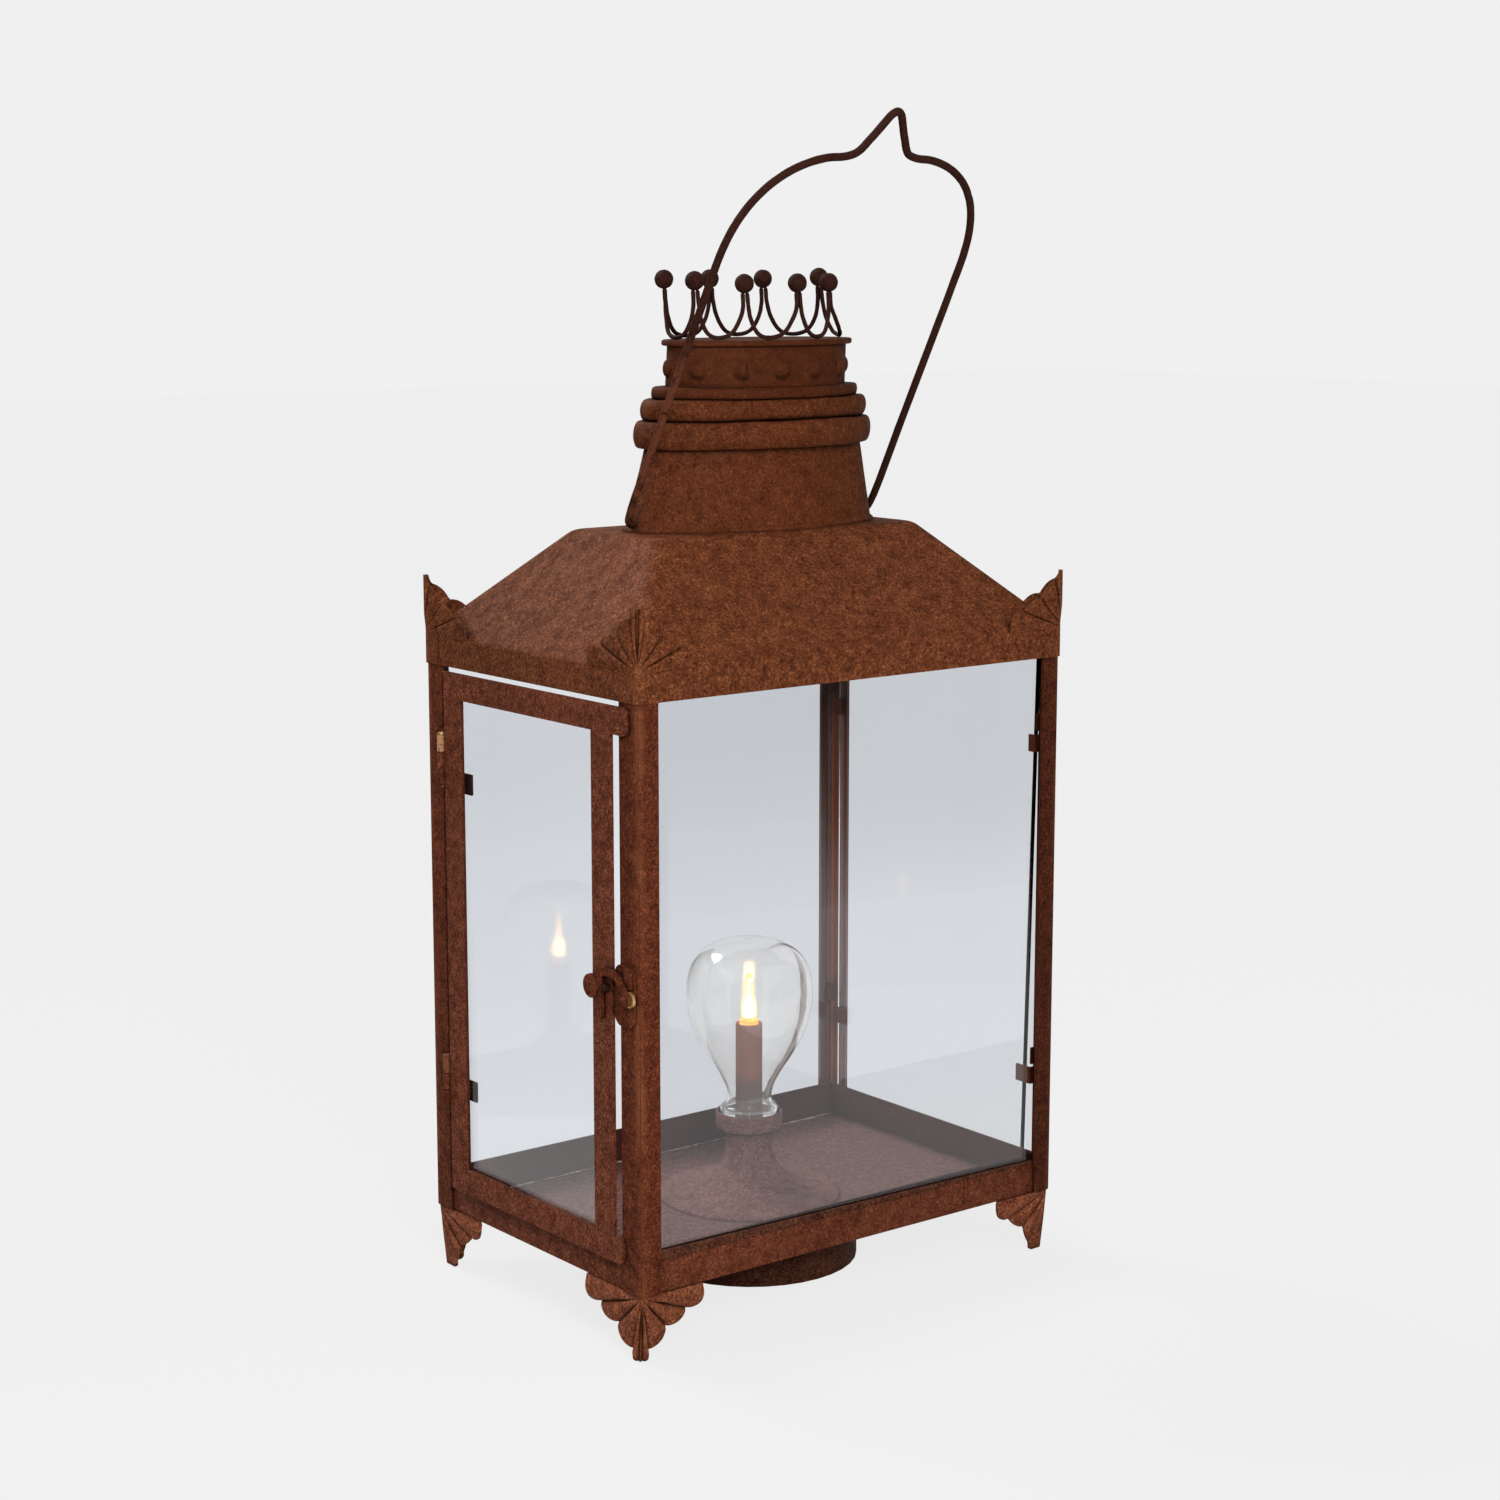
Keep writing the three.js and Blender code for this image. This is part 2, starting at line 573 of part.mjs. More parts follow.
// The scalloped outline of one wing: along the face on x, away from the box on y.
function wingOutline(wing, height, skirt) {
  const at = ([along, away]) => [(along * wing) / LOBE_WING[0], (away * height) / LOBE_WING[1]];
  const shape = new THREE.Shape();
  shape.moveTo(0, -skirt);
  if (skirt > 0) {
    shape.lineTo(SKIRT_WIDTH, -skirt);
    shape.lineTo(SKIRT_WIDTH, 0);
  }
  shape.lineTo(...at(LOBE_ENDS[0]));
  LOBE_BULGES.forEach((bulge, i) => {
    const [x0, y0] = at(LOBE_ENDS[i]);
    const [x1, y1] = at(LOBE_ENDS[i + 1]);
    const out = (2 * bulge) / Math.hypot(x1 - x0, y1 - y0);
    shape.quadraticCurveTo((x0 + x1) / 2 + out * (y1 - y0), (y0 + y1) / 2 + out * (x0 - x1), x1, y1);
  });
  shape.lineTo(BRACKET_TIP, height - BRACKET_TIP / 2);
  shape.quadraticCurveTo(BRACKET_TIP, height, BRACKET_TIP / 2, height);
  shape.lineTo(0, height);
  shape.closePath();
  return shape;
}

// Two wings round a corner, growing along +z from z = 0. The faces are set back from the box's by inset.
function bracket(height, sheet, inset, skirt, endSpread = BRACKET_END_SPREAD) {
  const onEnd = standOnEndFace(slab(wingOutline(endSpread, height, skirt), sheet));
  const onSide = slab(wingOutline(BRACKET_SIDE_SPREAD, height, skirt), sheet).rotateX(Math.PI / 2);
  onSide.translate(0, sheet, 0);
  return join(onEnd, onSide).translate(inset, inset, 0);
}

function foot({ footSpread, footLean = FOOT_LEAN }) {
  const geometry = bracket(FOOT_HEIGHT, BRACKET_SHEET, FOOT_INSET, 0, footSpread);
  const [leanX, leanY] = footLean;
  const lean = new THREE.Matrix4().set(1, 0, leanX, 0, 0, 1, leanY, 0, 0, 0, -1, TRAY_Z, 0, 0, 0, 1);
  return geometryOf(solid(turnedInsideOut(geometry.applyMatrix4(lean))));
}

// A mirrored geometry with its faces turned round, so that they point out again.
function turnedInsideOut(geometry) {
  const index = geometry.index.array;
  for (let i = 0; i < index.length; i += 3) [index[i + 1], index[i + 2]] = [index[i + 2], index[i + 1]];
  return geometry;
}

function ornament() {
  const inset = -EAVE_PROUD - ORNAMENT_SHEET;
  return bracket(ORNAMENT_HEIGHT, ORNAMENT_SHEET, inset, EAVE_HEIGHT).translate(0, 0, ROOF_FOLD_Z);
}

const BENT_FOOT = { footSpread: BENT_FOOT_SPREAD, footLean: BENT_FOOT_LEAN };
const CORNERS = [
  { name: "front_left", x: -1, y: -1, latched: true, sideClips: true, ...BENT_FOOT },
  { name: "back_left", x: -1, y: 1, hinged: true, sideClips: true },
  { name: "front_right", x: 1, y: -1, sideClips: true, endClips: true },
  { name: "back_right", x: 1, y: 1, sideClips: true, endClips: true },
];

function corners() {
  for (const corner of CORNERS) {
    const group = new THREE.Group();
    group.position.set((corner.x * BODY_WIDTH) / 2, (corner.y * BODY_DEPTH) / 2, 0);
    group.scale.set(-corner.x, -corner.y, 1);
    add(group, "post_" + corner.name, post(corner), rust);
    add(group, "foot_" + corner.name, foot(corner), rust);
    add(group, "eave_ornament_" + corner.name, ornament(), rust);
    lantern.add(group);
  }
}

// Roof: an eave band and four slopes folded from one sheet, open below

function roof() {
  const halfWidth = BODY_WIDTH / 2 + EAVE_PROUD;
  const halfDepth = BODY_DEPTH / 2 + EAVE_PROUD;
  const runX = halfWidth - ROOF_TOP_WIDTH / 2;
  const runY = halfDepth - ROOF_TOP_DEPTH / 2;
  const slope = Math.atan2(ROOF_RISE, (runX + runY) / 2);
  const back = ROOF_TOP_ROUND * Math.tan(slope / 2);
  const arcSteps = 3;
  const ring = (share, out, z, inset, round) => {
    const x = halfWidth - runX * share + out - inset;
    const y = halfDepth - runY * share + out - inset;
    return roundedRing(x, y, Math.max(round - inset, 0.4), z);
  };
  // From the eave up, for the outer face (no offset) or the inner face (offset by the sheet).
  const face = (offset) => {
    const rings = [
      ring(0, 0, EAVE_Z, offset, EAVE_ROUND),
      ring(0, 0, ROOF_FOLD_Z - offset * Math.tan(slope / 2), offset, EAVE_ROUND),
    ];
    for (let i = 0; i <= arcSteps; i++) {
      const normal = Math.PI / 2 - slope + (slope * i) / arcSteps;
      const out = -back + (ROOF_TOP_ROUND - offset) * Math.cos(normal);
      const z = ROOF_TOP_Z - ROOF_TOP_ROUND + (ROOF_TOP_ROUND - offset) * Math.sin(normal);
      rings.push(ring(1, out, z, 0, HIP_ROUND));
    }
    return rings;
  };
  return loft([...face(ROOF_SHEET).reverse(), ...face(0)], { closed: false });
}

// Chimney: every piece is made upright over the roof's top and then leans

const chimney = new THREE.Group();
chimney.position.set(CHIMNEY_OFFSET, 0, ROOF_TOP_Z);

function leaning(geometry) {
  const lean = new THREE.Matrix4().set(1, 0, CHIMNEY_LEAN, 0, 0, 1, 0, 0, 0, 0, 1, 0, 0, 0, 0, 1);
  return geometry.applyMatrix4(lean);
}

function neck() {
  const wall = loft(
    [
      ovalRing(NECK_BASE, 0),
      ovalRing(NECK_TOP, NECK_HEIGHT),
      ovalRing(NECK_TOP, NECK_HEIGHT, NECK_SHEET),
      ovalRing(NECK_BASE, 0, NECK_SHEET),
    ],
    { closed: true },
  );
  const holes = cylinder(BAIL_WIRE + CLEARANCE, -2 * BAIL_HALF_WIDTH, 2 * BAIL_HALF_WIDTH, 16);
  return cut(wall, holes.rotateY(Math.PI / 2).translate(0, 0, BAIL_PIVOT_HEIGHT));
}

// A ring rolled from sheet: a round crown outside and two flat flanges, open to the inside.
function rolledRing(oval, height, z) {
  const inner = RING_REACH;
  const outside = [
    [inner, 0],
    [RING_ROLL, 0],
    [0.25 * RING_ROLL, height * 0.2],
    [0, height / 2],
    [0.25 * RING_ROLL, height * 0.8],
    [RING_ROLL, height],
    [inner, height],
  ];
  const inside = [
    [inner, height - RING_SHEET],
    [RING_ROLL + RING_SHEET * 0.6, height - RING_SHEET],
    [RING_SHEET, height / 2],
    [RING_ROLL + RING_SHEET * 0.6, RING_SHEET],
    [inner, RING_SHEET],
  ];
  return loft([...outside, ...inside].map(([inset, h]) => ovalRing(oval, z + h, inset)), { closed: true });
}

function collar() {
  const stepInset = Math.min(COLLAR_STEP[0] - COLLAR[0], COLLAR_STEP_ROUND + COLLAR_SHEET);
  const body = loft(
    [
      ovalRing(COLLAR, COLLAR_STEP_Z, COLLAR_SHEET),
      ovalRing(COLLAR_STEP, COLLAR_STEP_Z, COLLAR_STEP_ROUND),
      ovalRing(COLLAR_STEP, COLLAR_STEP_Z + COLLAR_STEP_HEIGHT / 2),
      ovalRing(COLLAR_STEP, COLLAR_Z, COLLAR_STEP_ROUND),
      ovalRing(COLLAR, COLLAR_Z),
      ovalRing(COLLAR, CROWN_PLATE_Z),
      ovalRing(COLLAR, CROWN_PLATE_Z, COLLAR_SHEET),
      ovalRing(COLLAR, COLLAR_Z - COLLAR_SHEET, COLLAR_SHEET),
      ovalRing(COLLAR_STEP, COLLAR_Z - COLLAR_SHEET, stepInset),
      ovalRing(COLLAR_STEP, COLLAR_STEP_Z + COLLAR_SHEET, stepInset),
      ovalRing(COLLAR, COLLAR_STEP_Z + COLLAR_SHEET, COLLAR_SHEET),
    ],
    { closed: true },
  );
  const row = new THREE.EllipseCurve(0, 0, COLLAR[0], COLLAR[1]);
  const bosses = Array.from({ length: BOSS_COUNT }, (_, i) => {
    const at = row.getPointAt(i / BOSS_COUNT + BOSS_PHASE);
    const out = new THREE.Vector2(at.x / COLLAR[0] ** 2, at.y / COLLAR[1] ** 2).normalize();
    const dome = new THREE.SphereGeometry(BOSS_RADIUS, 8, 5).scale(1, BOSS_PROUD / BOSS_RADIUS, 1);
    dome.rotateZ(Math.atan2(out.y, out.x) - Math.PI / 2);
    return dome.translate(at.x, at.y, COLLAR_Z + BOSS_HEIGHT);
  });
  return join(body, ...bosses);
}

function crownPlate() {
  const edge = CROWN_PLATE_SHEET / 3;
  return loft(
    [
      ovalRing(CROWN_PLATE, CROWN_PLATE_Z, edge),
      ovalRing(CROWN_PLATE, CROWN_PLATE_Z + edge),
      ovalRing(CROWN_PLATE, CROWN_Z - edge),
      ovalRing(CROWN_PLATE, CROWN_Z, edge),
    ],
    { closed: false },
  );
}

// A point over the crown's oval: round it by degrees, sideways along it by mm, and up.
function crownPoint(degrees, along, up) {
  const t = THREE.MathUtils.degToRad(degrees);
  const tangent = new THREE.Vector2(-CROWN_OVAL[0] * Math.sin(t), CROWN_OVAL[1] * Math.cos(t)).normalize();
  const middle = CROWN_OFFSET - (CROWN_LEAN * up) / BALL_HEIGHTS[0];
  const x = middle + CROWN_OVAL[0] * Math.cos(t) + along * tangent.x;
  const y = CROWN_OVAL[1] * Math.sin(t) + along * tangent.y;
  return new THREE.Vector3(x, y, CROWN_Z + up);
}

// A loop's leg ends just under its ball.
function legTop(ball) {
  const pair = CROWN_WIRE + CLEARANCE / 2;
  return BALL_HEIGHTS[ball] - Math.sqrt(BALL_RADIUS ** 2 - (pair + CROWN_WIRE) ** 2) - CLEARANCE;
}

// From one ball down to the plate and up to the next ball.
function crownLoop(ball, nextBall) {
  const pair = CROWN_WIRE + CLEARANCE / 2; // half the pitch of two legs that run side by side
  const seat = CROWN_WIRE + CLEARANCE;
  const [from, to] = [BALL_ANGLES[ball], BALL_ANGLES[nextBall]];
  const bottom = (share, up) => crownPoint(LOOP_ANGLES[ball], share * LOOP_BOTTOM, seat + up * LOOP_BOTTOM);
  return wire(
    [
      crownPoint(from, pair, legTop(ball)),
      crownPoint(from, pair + WELD_LAP, legTop(ball) - LEG_RUN),
      bottom(-1.1, 1),
      bottom(-0.7, 0.28),
      bottom(0, 0),
      bottom(0.7, 0.28),
      bottom(1.1, 1),
      crownPoint(to, -pair - WELD_LAP, legTop(nextBall) - LEG_RUN),
      crownPoint(to, -pair, legTop(nextBall)),
    ],
    CROWN_WIRE,
    6,
    2,
  );
}

function crown() {
  BALL_ANGLES.forEach((angle, i) => {
    add(chimney, "crown_loop_" + (i + 1), crownLoop(i, (i + 1) % BALL_ANGLES.length), darkRust);
    const ball = new THREE.SphereGeometry(BALL_RADIUS, 10, 7).rotateX(Math.PI / 2);
    ball.translate(...crownPoint(angle, 0, BALL_HEIGHTS[i]));
    add(chimney, "crown_ball_" + (i + 1), ball, darkRust);
  });
}

// Bail: upright over its pivot, then leant by its group

function bail() {
  const half = [
    [BAIL_HALF_WIDTH - BAIL_PIN_REACH, 0],
    [BAIL_HALF_WIDTH - BAIL_BEND, 0],
    [BAIL_HALF_WIDTH - 0.3 * BAIL_BEND, 0.3 * BAIL_BEND],
    [BAIL_HALF_WIDTH, BAIL_BEND],
    ...BAIL_SHOULDER,
    ...BAIL_POINT,
  ];
  const right = half.map(([x, z]) => new THREE.Vector3(x, 0, z));
  const left = half.map(([x, z]) => new THREE.Vector3(-x, 0, z));
  return wire([...left, new THREE.Vector3(0, 0, BAIL_PEAK), ...right.reverse()], BAIL_WIRE, 8, 2);
}

function addBail() {
  const group = new THREE.Group();
  group.position.set(CHIMNEY_OFFSET + CHIMNEY_LEAN * BAIL_PIVOT_HEIGHT, 0, ROOF_TOP_Z + BAIL_PIVOT_HEIGHT);
  group.rotation.x = THREE.MathUtils.degToRad(BAIL_LEAN);
  add(group, "bail_handle", bail(), darkRust);
  lantern.add(group);
}

// Panes

function panes() {
  const sideX = BODY_WIDTH / 2 - PANE_SIDE_MARGIN;
  for (const [name, side] of [["pane_front", -1], ["pane_back", 1]]) {
    const y = [PANE_OUT, PANE_IN].map((inset) => side * (BODY_DEPTH / 2 - inset)).sort((a, b) => a - b);
    add(lantern, name, box(-sideX, sideX, ...y, FLOOR_Z, PANE_TOP_Z), glass);
  }
  const endY = BODY_DEPTH / 2 - PANE_END_MARGIN;
  const outline = new THREE.Shape();
  outline.moveTo(-endY + PANE_END_SHORT, FLOOR_Z);
  outline.lineTo(endY, FLOOR_Z);
  outline.lineTo(endY, PANE_TOP_Z);
  outline.lineTo(-endY, PANE_TOP_Z);
  outline.closePath();
  const right = standOnEndFace(slab(outline, GLASS)).translate(BODY_WIDTH / 2 - PANE_IN, 0, 0);
  add(lantern, "pane_right", right, glass);
}

// Door: made where it closes

function doorOutline() {
  const top = TRAY_Z + DOOR_TOP;
  const bottom = TRAY_Z + DOOR_BOTTOM;
  const lipTop = DOOR_LATCH_EDGE - LIP_TOP_REACH;
  const lipBottom = DOOR_LATCH_EDGE - LIP_BOTTOM_REACH;
  const r = LIP_ROUND;
  const shape = new THREE.Shape();
  shape.moveTo(DOOR_HINGE_EDGE, bottom);
  shape.lineTo(DOOR_HINGE_EDGE, top);
  shape.lineTo(lipTop + r, top);
  shape.absarc(lipTop + r, top - r, r, Math.PI / 2, Math.PI, false);
  shape.lineTo(lipTop, top - DOOR_RAIL + r);
  shape.absarc(lipTop + r, top - DOOR_RAIL + r, r, Math.PI, 1.5 * Math.PI, false);
  shape.lineTo(DOOR_LATCH_EDGE, top - DOOR_RAIL);
  shape.lineTo(DOOR_LATCH_EDGE, bottom + DOOR_RAIL);
  shape.lineTo(lipBottom + r, bottom + DOOR_RAIL);
  shape.absarc(lipBottom + r, bottom + DOOR_RAIL - r, r, Math.PI / 2, Math.PI, false);
  shape.lineTo(lipBottom, bottom + r);
  shape.absarc(lipBottom + r, bottom + r, r, Math.PI, 1.5 * Math.PI, false);
  shape.closePath();
  return shape;
}

const DOOR_OPENING_Y = [DOOR_LATCH_EDGE + LATCH_STILE, DOOR_HINGE_EDGE - HINGE_STILE];
const DOOR_OPENING_Z = [TRAY_Z + DOOR_BOTTOM + DOOR_RAIL, TRAY_Z + DOOR_TOP - DOOR_RAIL];
const DOOR_PANE_Y = [DOOR_OPENING_Y[0] - DOOR_PANE_LAP, DOOR_OPENING_Y[1] + DOOR_PANE_LAP];
const DOOR_PANE_Z = [DOOR_OPENING_Z[0] - DOOR_PANE_LAP, DOOR_OPENING_Z[1] + DOOR_PANE_LAP];

// A clip behind the door: from the frame, past the pane's edge at y, and over the pane to the tip.
function doorClip(y, tip, z) {
  const away = Math.sign(y);
  const z0 = TRAY_Z + z - DOOR_CLIP_HEIGHT / 2;
  const z1 = z0 + DOOR_CLIP_HEIGHT;
  const leg = [y + away * CLEARANCE, y + away * (CLEARANCE + CLIP_SHEET)];
  const faceX = DOOR_IN_X + GLASS + CLEARANCE;
  const arm = box(DOOR_IN_X - WELD_LAP, faceX + CLIP_SHEET, Math.min(...leg), Math.max(...leg), z0, z1);
  const hand = box(faceX, faceX + CLIP_SHEET, Math.min(leg[1], tip), Math.max(leg[1], tip), z0, z1);
  return join(arm, hand);
}

function doorFrame() {
  const sheet = standOnEndFace(slab(doorOutline(), DOOR_SHEET)).translate(DOOR_OUT_X, 0, 0);
  const hingeX = -BODY_WIDTH / 2 - HINGE_OUT;
  const knuckles = HINGE_Z.flatMap((middle) => {
    const z0 = TRAY_Z + middle - KNUCKLE_LENGTH / 2;
    const z1 = z0 + KNUCKLE_LENGTH;
    const barrel = cylinder(KNUCKLE_RADIUS, z0, z1, 14).translate(hingeX, HINGE_Y, 0);
    const leafY = [DOOR_HINGE_EDGE - LEAF_WIDTH, HINGE_Y - PIN_RADIUS - CLEARANCE];
    return [barrel, box(DOOR_OUT_X, DOOR_IN_X, ...leafY, z0, z1)];
  });
  const opening = box(DOOR_OUT_X - 1, DOOR_IN_X + 1, ...DOOR_OPENING_Y, ...DOOR_OPENING_Z);
  const hingeTip = DOOR_OPENING_Y[1] - DOOR_CLIP_SHOW;
  const latchTip = DOOR_OPENING_Y[0] - CLIP_SHEET;
  const clips = [DOOR_CLIP_FROM_TRAY, POST_HEIGHT - DOOR_CLIP_FROM_EAVE].flatMap((z) => [
    doorClip(DOOR_PANE_Y[1], hingeTip, z),
    doorClip(DOOR_PANE_Y[0], latchTip, z),
  ]);
  const studHole = standOnEndFace(cylinder(STUD_SHANK_RADIUS + CLEARANCE, -TOOL_REACH, TOOL_REACH, 14));
  studHole.translate(DOOR_OUT_X, RIVET_Y + STUD_CENTRE[0], TRAY_Z + RIVET_Z + STUD_CENTRE[1]);
  return cut(join(cut(sheet, opening), ...knuckles, ...clips), ...hingeBore(hingeX, HINGE_Y), studHole);
}

function doorPane() {
  return box(DOOR_IN_X, DOOR_IN_X + GLASS, ...DOOR_PANE_Y, ...DOOR_PANE_Z);
}

function hingePin() {
  const half = 1.5 * KNUCKLE_LENGTH + CLEARANCE;
  const seat = half + 0.1;
  const top = seat + PIN_HEAD;
  const bottom = -half - PIN_RADIUS;
  const shank = [[0, bottom], [PIN_RADIUS, bottom], [PIN_RADIUS, seat]];
  const head = [[PIN_HEAD_RADIUS, seat], [PIN_HEAD_RADIUS * 0.8, top], [0, top]];
  return turned([...shank, ...head], 12);
}

function hinges() {
  [["hinge_pin_lower", HINGE_Z[0]], ["hinge_pin_upper", HINGE_Z[1]]].forEach(([name, z]) => {
    const pin = add(lantern, name, hingePin(), brass);
    pin.position.set(-BODY_WIDTH / 2 - HINGE_OUT, HINGE_Y, TRAY_Z + z);
  });
}

// Latch: drawn from the rivet's axis, which points along X

function roundedOutline(x0, x1, y0, y1, radius) {
  const middleX = (x0 + x1) / 2;
  const middleY = (y0 + y1) / 2;
  const ring = roundedRing((x1 - x0) / 2, (y1 - y0) / 2, radius, 0, 4);
  return new THREE.Shape(ring.map((p) => new THREE.Vector2(p.x + middleX, p.y + middleY)));
}

function latchPlate() {
  const outline = roundedOutline(...LATCH_PLATE_Y, ...LATCH_PLATE_Z, LATCH_PLATE_ROUND);
  const plate = standOnEndFace(slab(outline, LATCH_PLATE_SHEET)).translate(PLATE_OUT_X, 0, 0);
  const ear = box(PLATE_OUT_X - EAR_SHEET, PLATE_OUT_X + WELD_LAP, ...EAR_Y, ...EAR_Z);
  const hole = standOnEndFace(cylinder(RIVET_RADIUS + CLEARANCE, -TOOL_REACH, TOOL_REACH, 14));
  return cut(join(plate, ear), hole.translate(PLATE_OUT_X, 0, 0));
}

// A brass rivet with a shoulder between the plate and the hook.
function latchRivet() {
  const inner = -BODY_WIDTH / 2 + POST_SHEET + CLEARANCE;
  const under = HOOK_OUT_X - CLEARANCE;
  const top = under - RIVET_HEAD;
  const shoulder = HOOK_IN_X + CLEARANCE;
  const outline = [
    [0, top],
    [RIVET_HEAD_RADIUS * 0.6, top],
    [RIVET_HEAD_RADIUS, top + RIVET_HEAD * 0.6],
    [RIVET_HEAD_RADIUS, under],
    [RIVET_RADIUS, under],
    [RIVET_RADIUS, shoulder],
    [RIVET_SHOULDER_RADIUS, shoulder],
    [RIVET_SHOULDER_RADIUS, PLATE_OUT_X],
    [RIVET_RADIUS, PLATE_OUT_X],
    [RIVET_RADIUS, inner],
    [1.7 * RIVET_RADIUS, inner],
    [1.7 * RIVET_RADIUS, inner + CLIP_SHEET],
    [0, inner + CLIP_SHEET],
  ];
  return standOnEndFace(turned(outline, 16));
}

function latchHook() {
  const curl = slab(strapOutline(HOOK_LINE, HOOK_WIDTH), HOOK_SHEET);
  const strap = standOnEndFace(curl).translate(HOOK_OUT_X, 0, 0);
  const bar = roundedOutline(...HOOK_TAIL_Y, ...HOOK_TAIL_Z, HOOK_TAIL_ROUND);
  const tail = standOnEndFace(slab(bar, HOOK_SHEET)).translate(HOOK_OUT_X, 0, 0);
  const eye = standOnEndFace(cylinder(HOOK_EYE_RADIUS, HOOK_OUT_X, HOOK_IN_X, 18));
  const tab = standOnEndFace(cylinder(TAB_RADIUS, TAB_OUT_X, HOOK_IN_X, 20)).translate(0, ...TAB_CENTRE);
  const hole = standOnEndFace(cylinder(RIVET_RADIUS + CLEARANCE, -TOOL_REACH, TOOL_REACH, 14));
  return cut(join(strap, tail, eye, tab), hole.translate(HOOK_OUT_X, 0, 0));
}

// The stud on the door that the hook drops over.
function doorStud() {
  const back = DOOR_IN_X + CLEARANCE;
  const outline = [
    [0, TAB_OUT_X],
    [STUD_RADIUS * 0.7, TAB_OUT_X],
    [STUD_RADIUS, TAB_OUT_X + STUD_RADIUS * 0.3],
    [STUD_RADIUS, DOOR_OUT_X],
    [STUD_SHANK_RADIUS, DOOR_OUT_X],
    [STUD_SHANK_RADIUS, back],
    [1.7 * STUD_SHANK_RADIUS, back],
    [1.7 * STUD_SHANK_RADIUS, back + CLIP_SHEET],
    [0, back + CLIP_SHEET],
  ];
  return standOnEndFace(turned(outline, 16)).translate(0, ...STUD_CENTRE);
}

function latch() {
  const group = new THREE.Group();
  group.position.set(0, RIVET_Y, TRAY_Z + RIVET_Z);
  add(group, "latch_plate", latchPlate(), rust);
  add(group, "latch_rivet", latchRivet(), brass);
  add(group, "latch_hook", latchHook(), rust);
  add(group, "door_stud", doorStud(), rust);
  lantern.add(group);
}

// Battery box, under the tray

function housing() {
  const inner = HOUSING_RADIUS - HOUSING_WALL;
  const roofZ = TRAY_Z - HOUSING_WALL;
  const hole = WIRE_HOLE / 2;
  return turned([
    [hole, roofZ],
    [inner, roofZ],
    [inner, COVER_TOP],
    [HOUSING_RADIUS, COVER_TOP],
    [HOUSING_RADIUS, TRAY_Z],
    [hole, TRAY_Z],
    [hole, roofZ],
  ]);
}

function sliderSlot() {
  const half = THUMB_WIDTH / 2 + CLEARANCE;
  const x0 = -THUMB_LENGTH / 2 - CLEARANCE;
  const x1 = THUMB_LENGTH / 2 + SLIDER_TRAVEL + CLEARANCE;
  return box(x0, x1, SLIDER_Y - half, SLIDER_Y + half, COVER_Z - 1, COVER_TOP + 1);
}

function sliderGuides() {
  const x0 = -SLIDER_LENGTH / 2 - CLEARANCE;
  const x1 = SLIDER_LENGTH / 2 + SLIDER_TRAVEL + CLEARANCE;
  const wallIn = SLIDER_WIDTH / 2 + CLEARANCE;
  const wallTop = COVER_TOP + 2 * CLEARANCE + SLIDER_SHEET;
  return [-1, 1].flatMap((side) => {
    const y = (from, to) => [SLIDER_Y + side * from, SLIDER_Y + side * to].sort((a, b) => a - b);
    return [
      box(x0, x1, ...y(wallIn, wallIn + GUIDE_WALL), COVER_TOP - WELD_LAP, wallTop + GUIDE_WALL),
      box(x0, x1, ...y(wallIn - 1, wallIn + GUIDE_WALL), wallTop, wallTop + GUIDE_WALL),
    ];
  });
}

function cover() {
  const lipOut = HOUSING_RADIUS - HOUSING_WALL - CLEARANCE;
  const lipIn = lipOut - COVER_LIP_WALL;
  const disc = turned([
    [0, COVER_Z],
    [HOUSING_RADIUS, COVER_Z],
    [HOUSING_RADIUS, COVER_TOP],
    [lipOut, COVER_TOP],
    [lipOut, COVER_TOP + COVER_LIP_HEIGHT],
    [lipIn, COVER_TOP + COVER_LIP_HEIGHT],
    [lipIn, COVER_TOP],
    [0, COVER_TOP],
  ]);
  return cut(join(disc, ...sliderGuides()), sliderSlot());
}

function slider() {
  const z0 = COVER_TOP + CLEARANCE;
  const around = (length, width) => [-length / 2, length / 2, -width / 2, width / 2];
  const plate = box(...around(SLIDER_LENGTH, SLIDER_WIDTH), z0, z0 + SLIDER_SHEET);
  const thumb = box(...around(THUMB_LENGTH, THUMB_WIDTH), COVER_Z + THUMB_RECESS, z0 + WELD_LAP);
  return join(plate, thumb).translate(0, SLIDER_Y, 0);
}

// A cell lies along X, with its nub towards +X.
function cell() {
  const end = CELL_LENGTH / 2;
  const outline = [
    [0, -end],
    [CELL_RADIUS, -end],
    [CELL_RADIUS, end],
    [CELL_NUB_RADIUS, end],
    [CELL_NUB_RADIUS, end + CELL_NUB],
    [0, end + CELL_NUB],
  ];
  return standOnEndFace(turned(outline, 16));
}

const CONTACT_X = CELL_LENGTH / 2 + CELL_NUB + CLEARANCE + CONTACT_NUB; // inner face of a contact strip

function contactStrip() {
  const halfY = CELL_PITCH + CELL_RADIUS * 0.7;
  const z0 = COVER_TOP + HOLDER_SHEET + CLEARANCE;
  const strip = box(CONTACT_X, CONTACT_X + CONTACT_SHEET, -halfY, halfY, z0, CELL_Z + CELL_RADIUS * 0.6);
  const nubs = [-1, 0, 1].map((row) => {
    const nub = standOnEndFace(cylinder(2, CONTACT_X - CONTACT_NUB, CONTACT_X + WELD_LAP, 10));
    return nub.translate(0, row * CELL_PITCH, CELL_Z);
  });
  return join(strip, ...nubs);
}

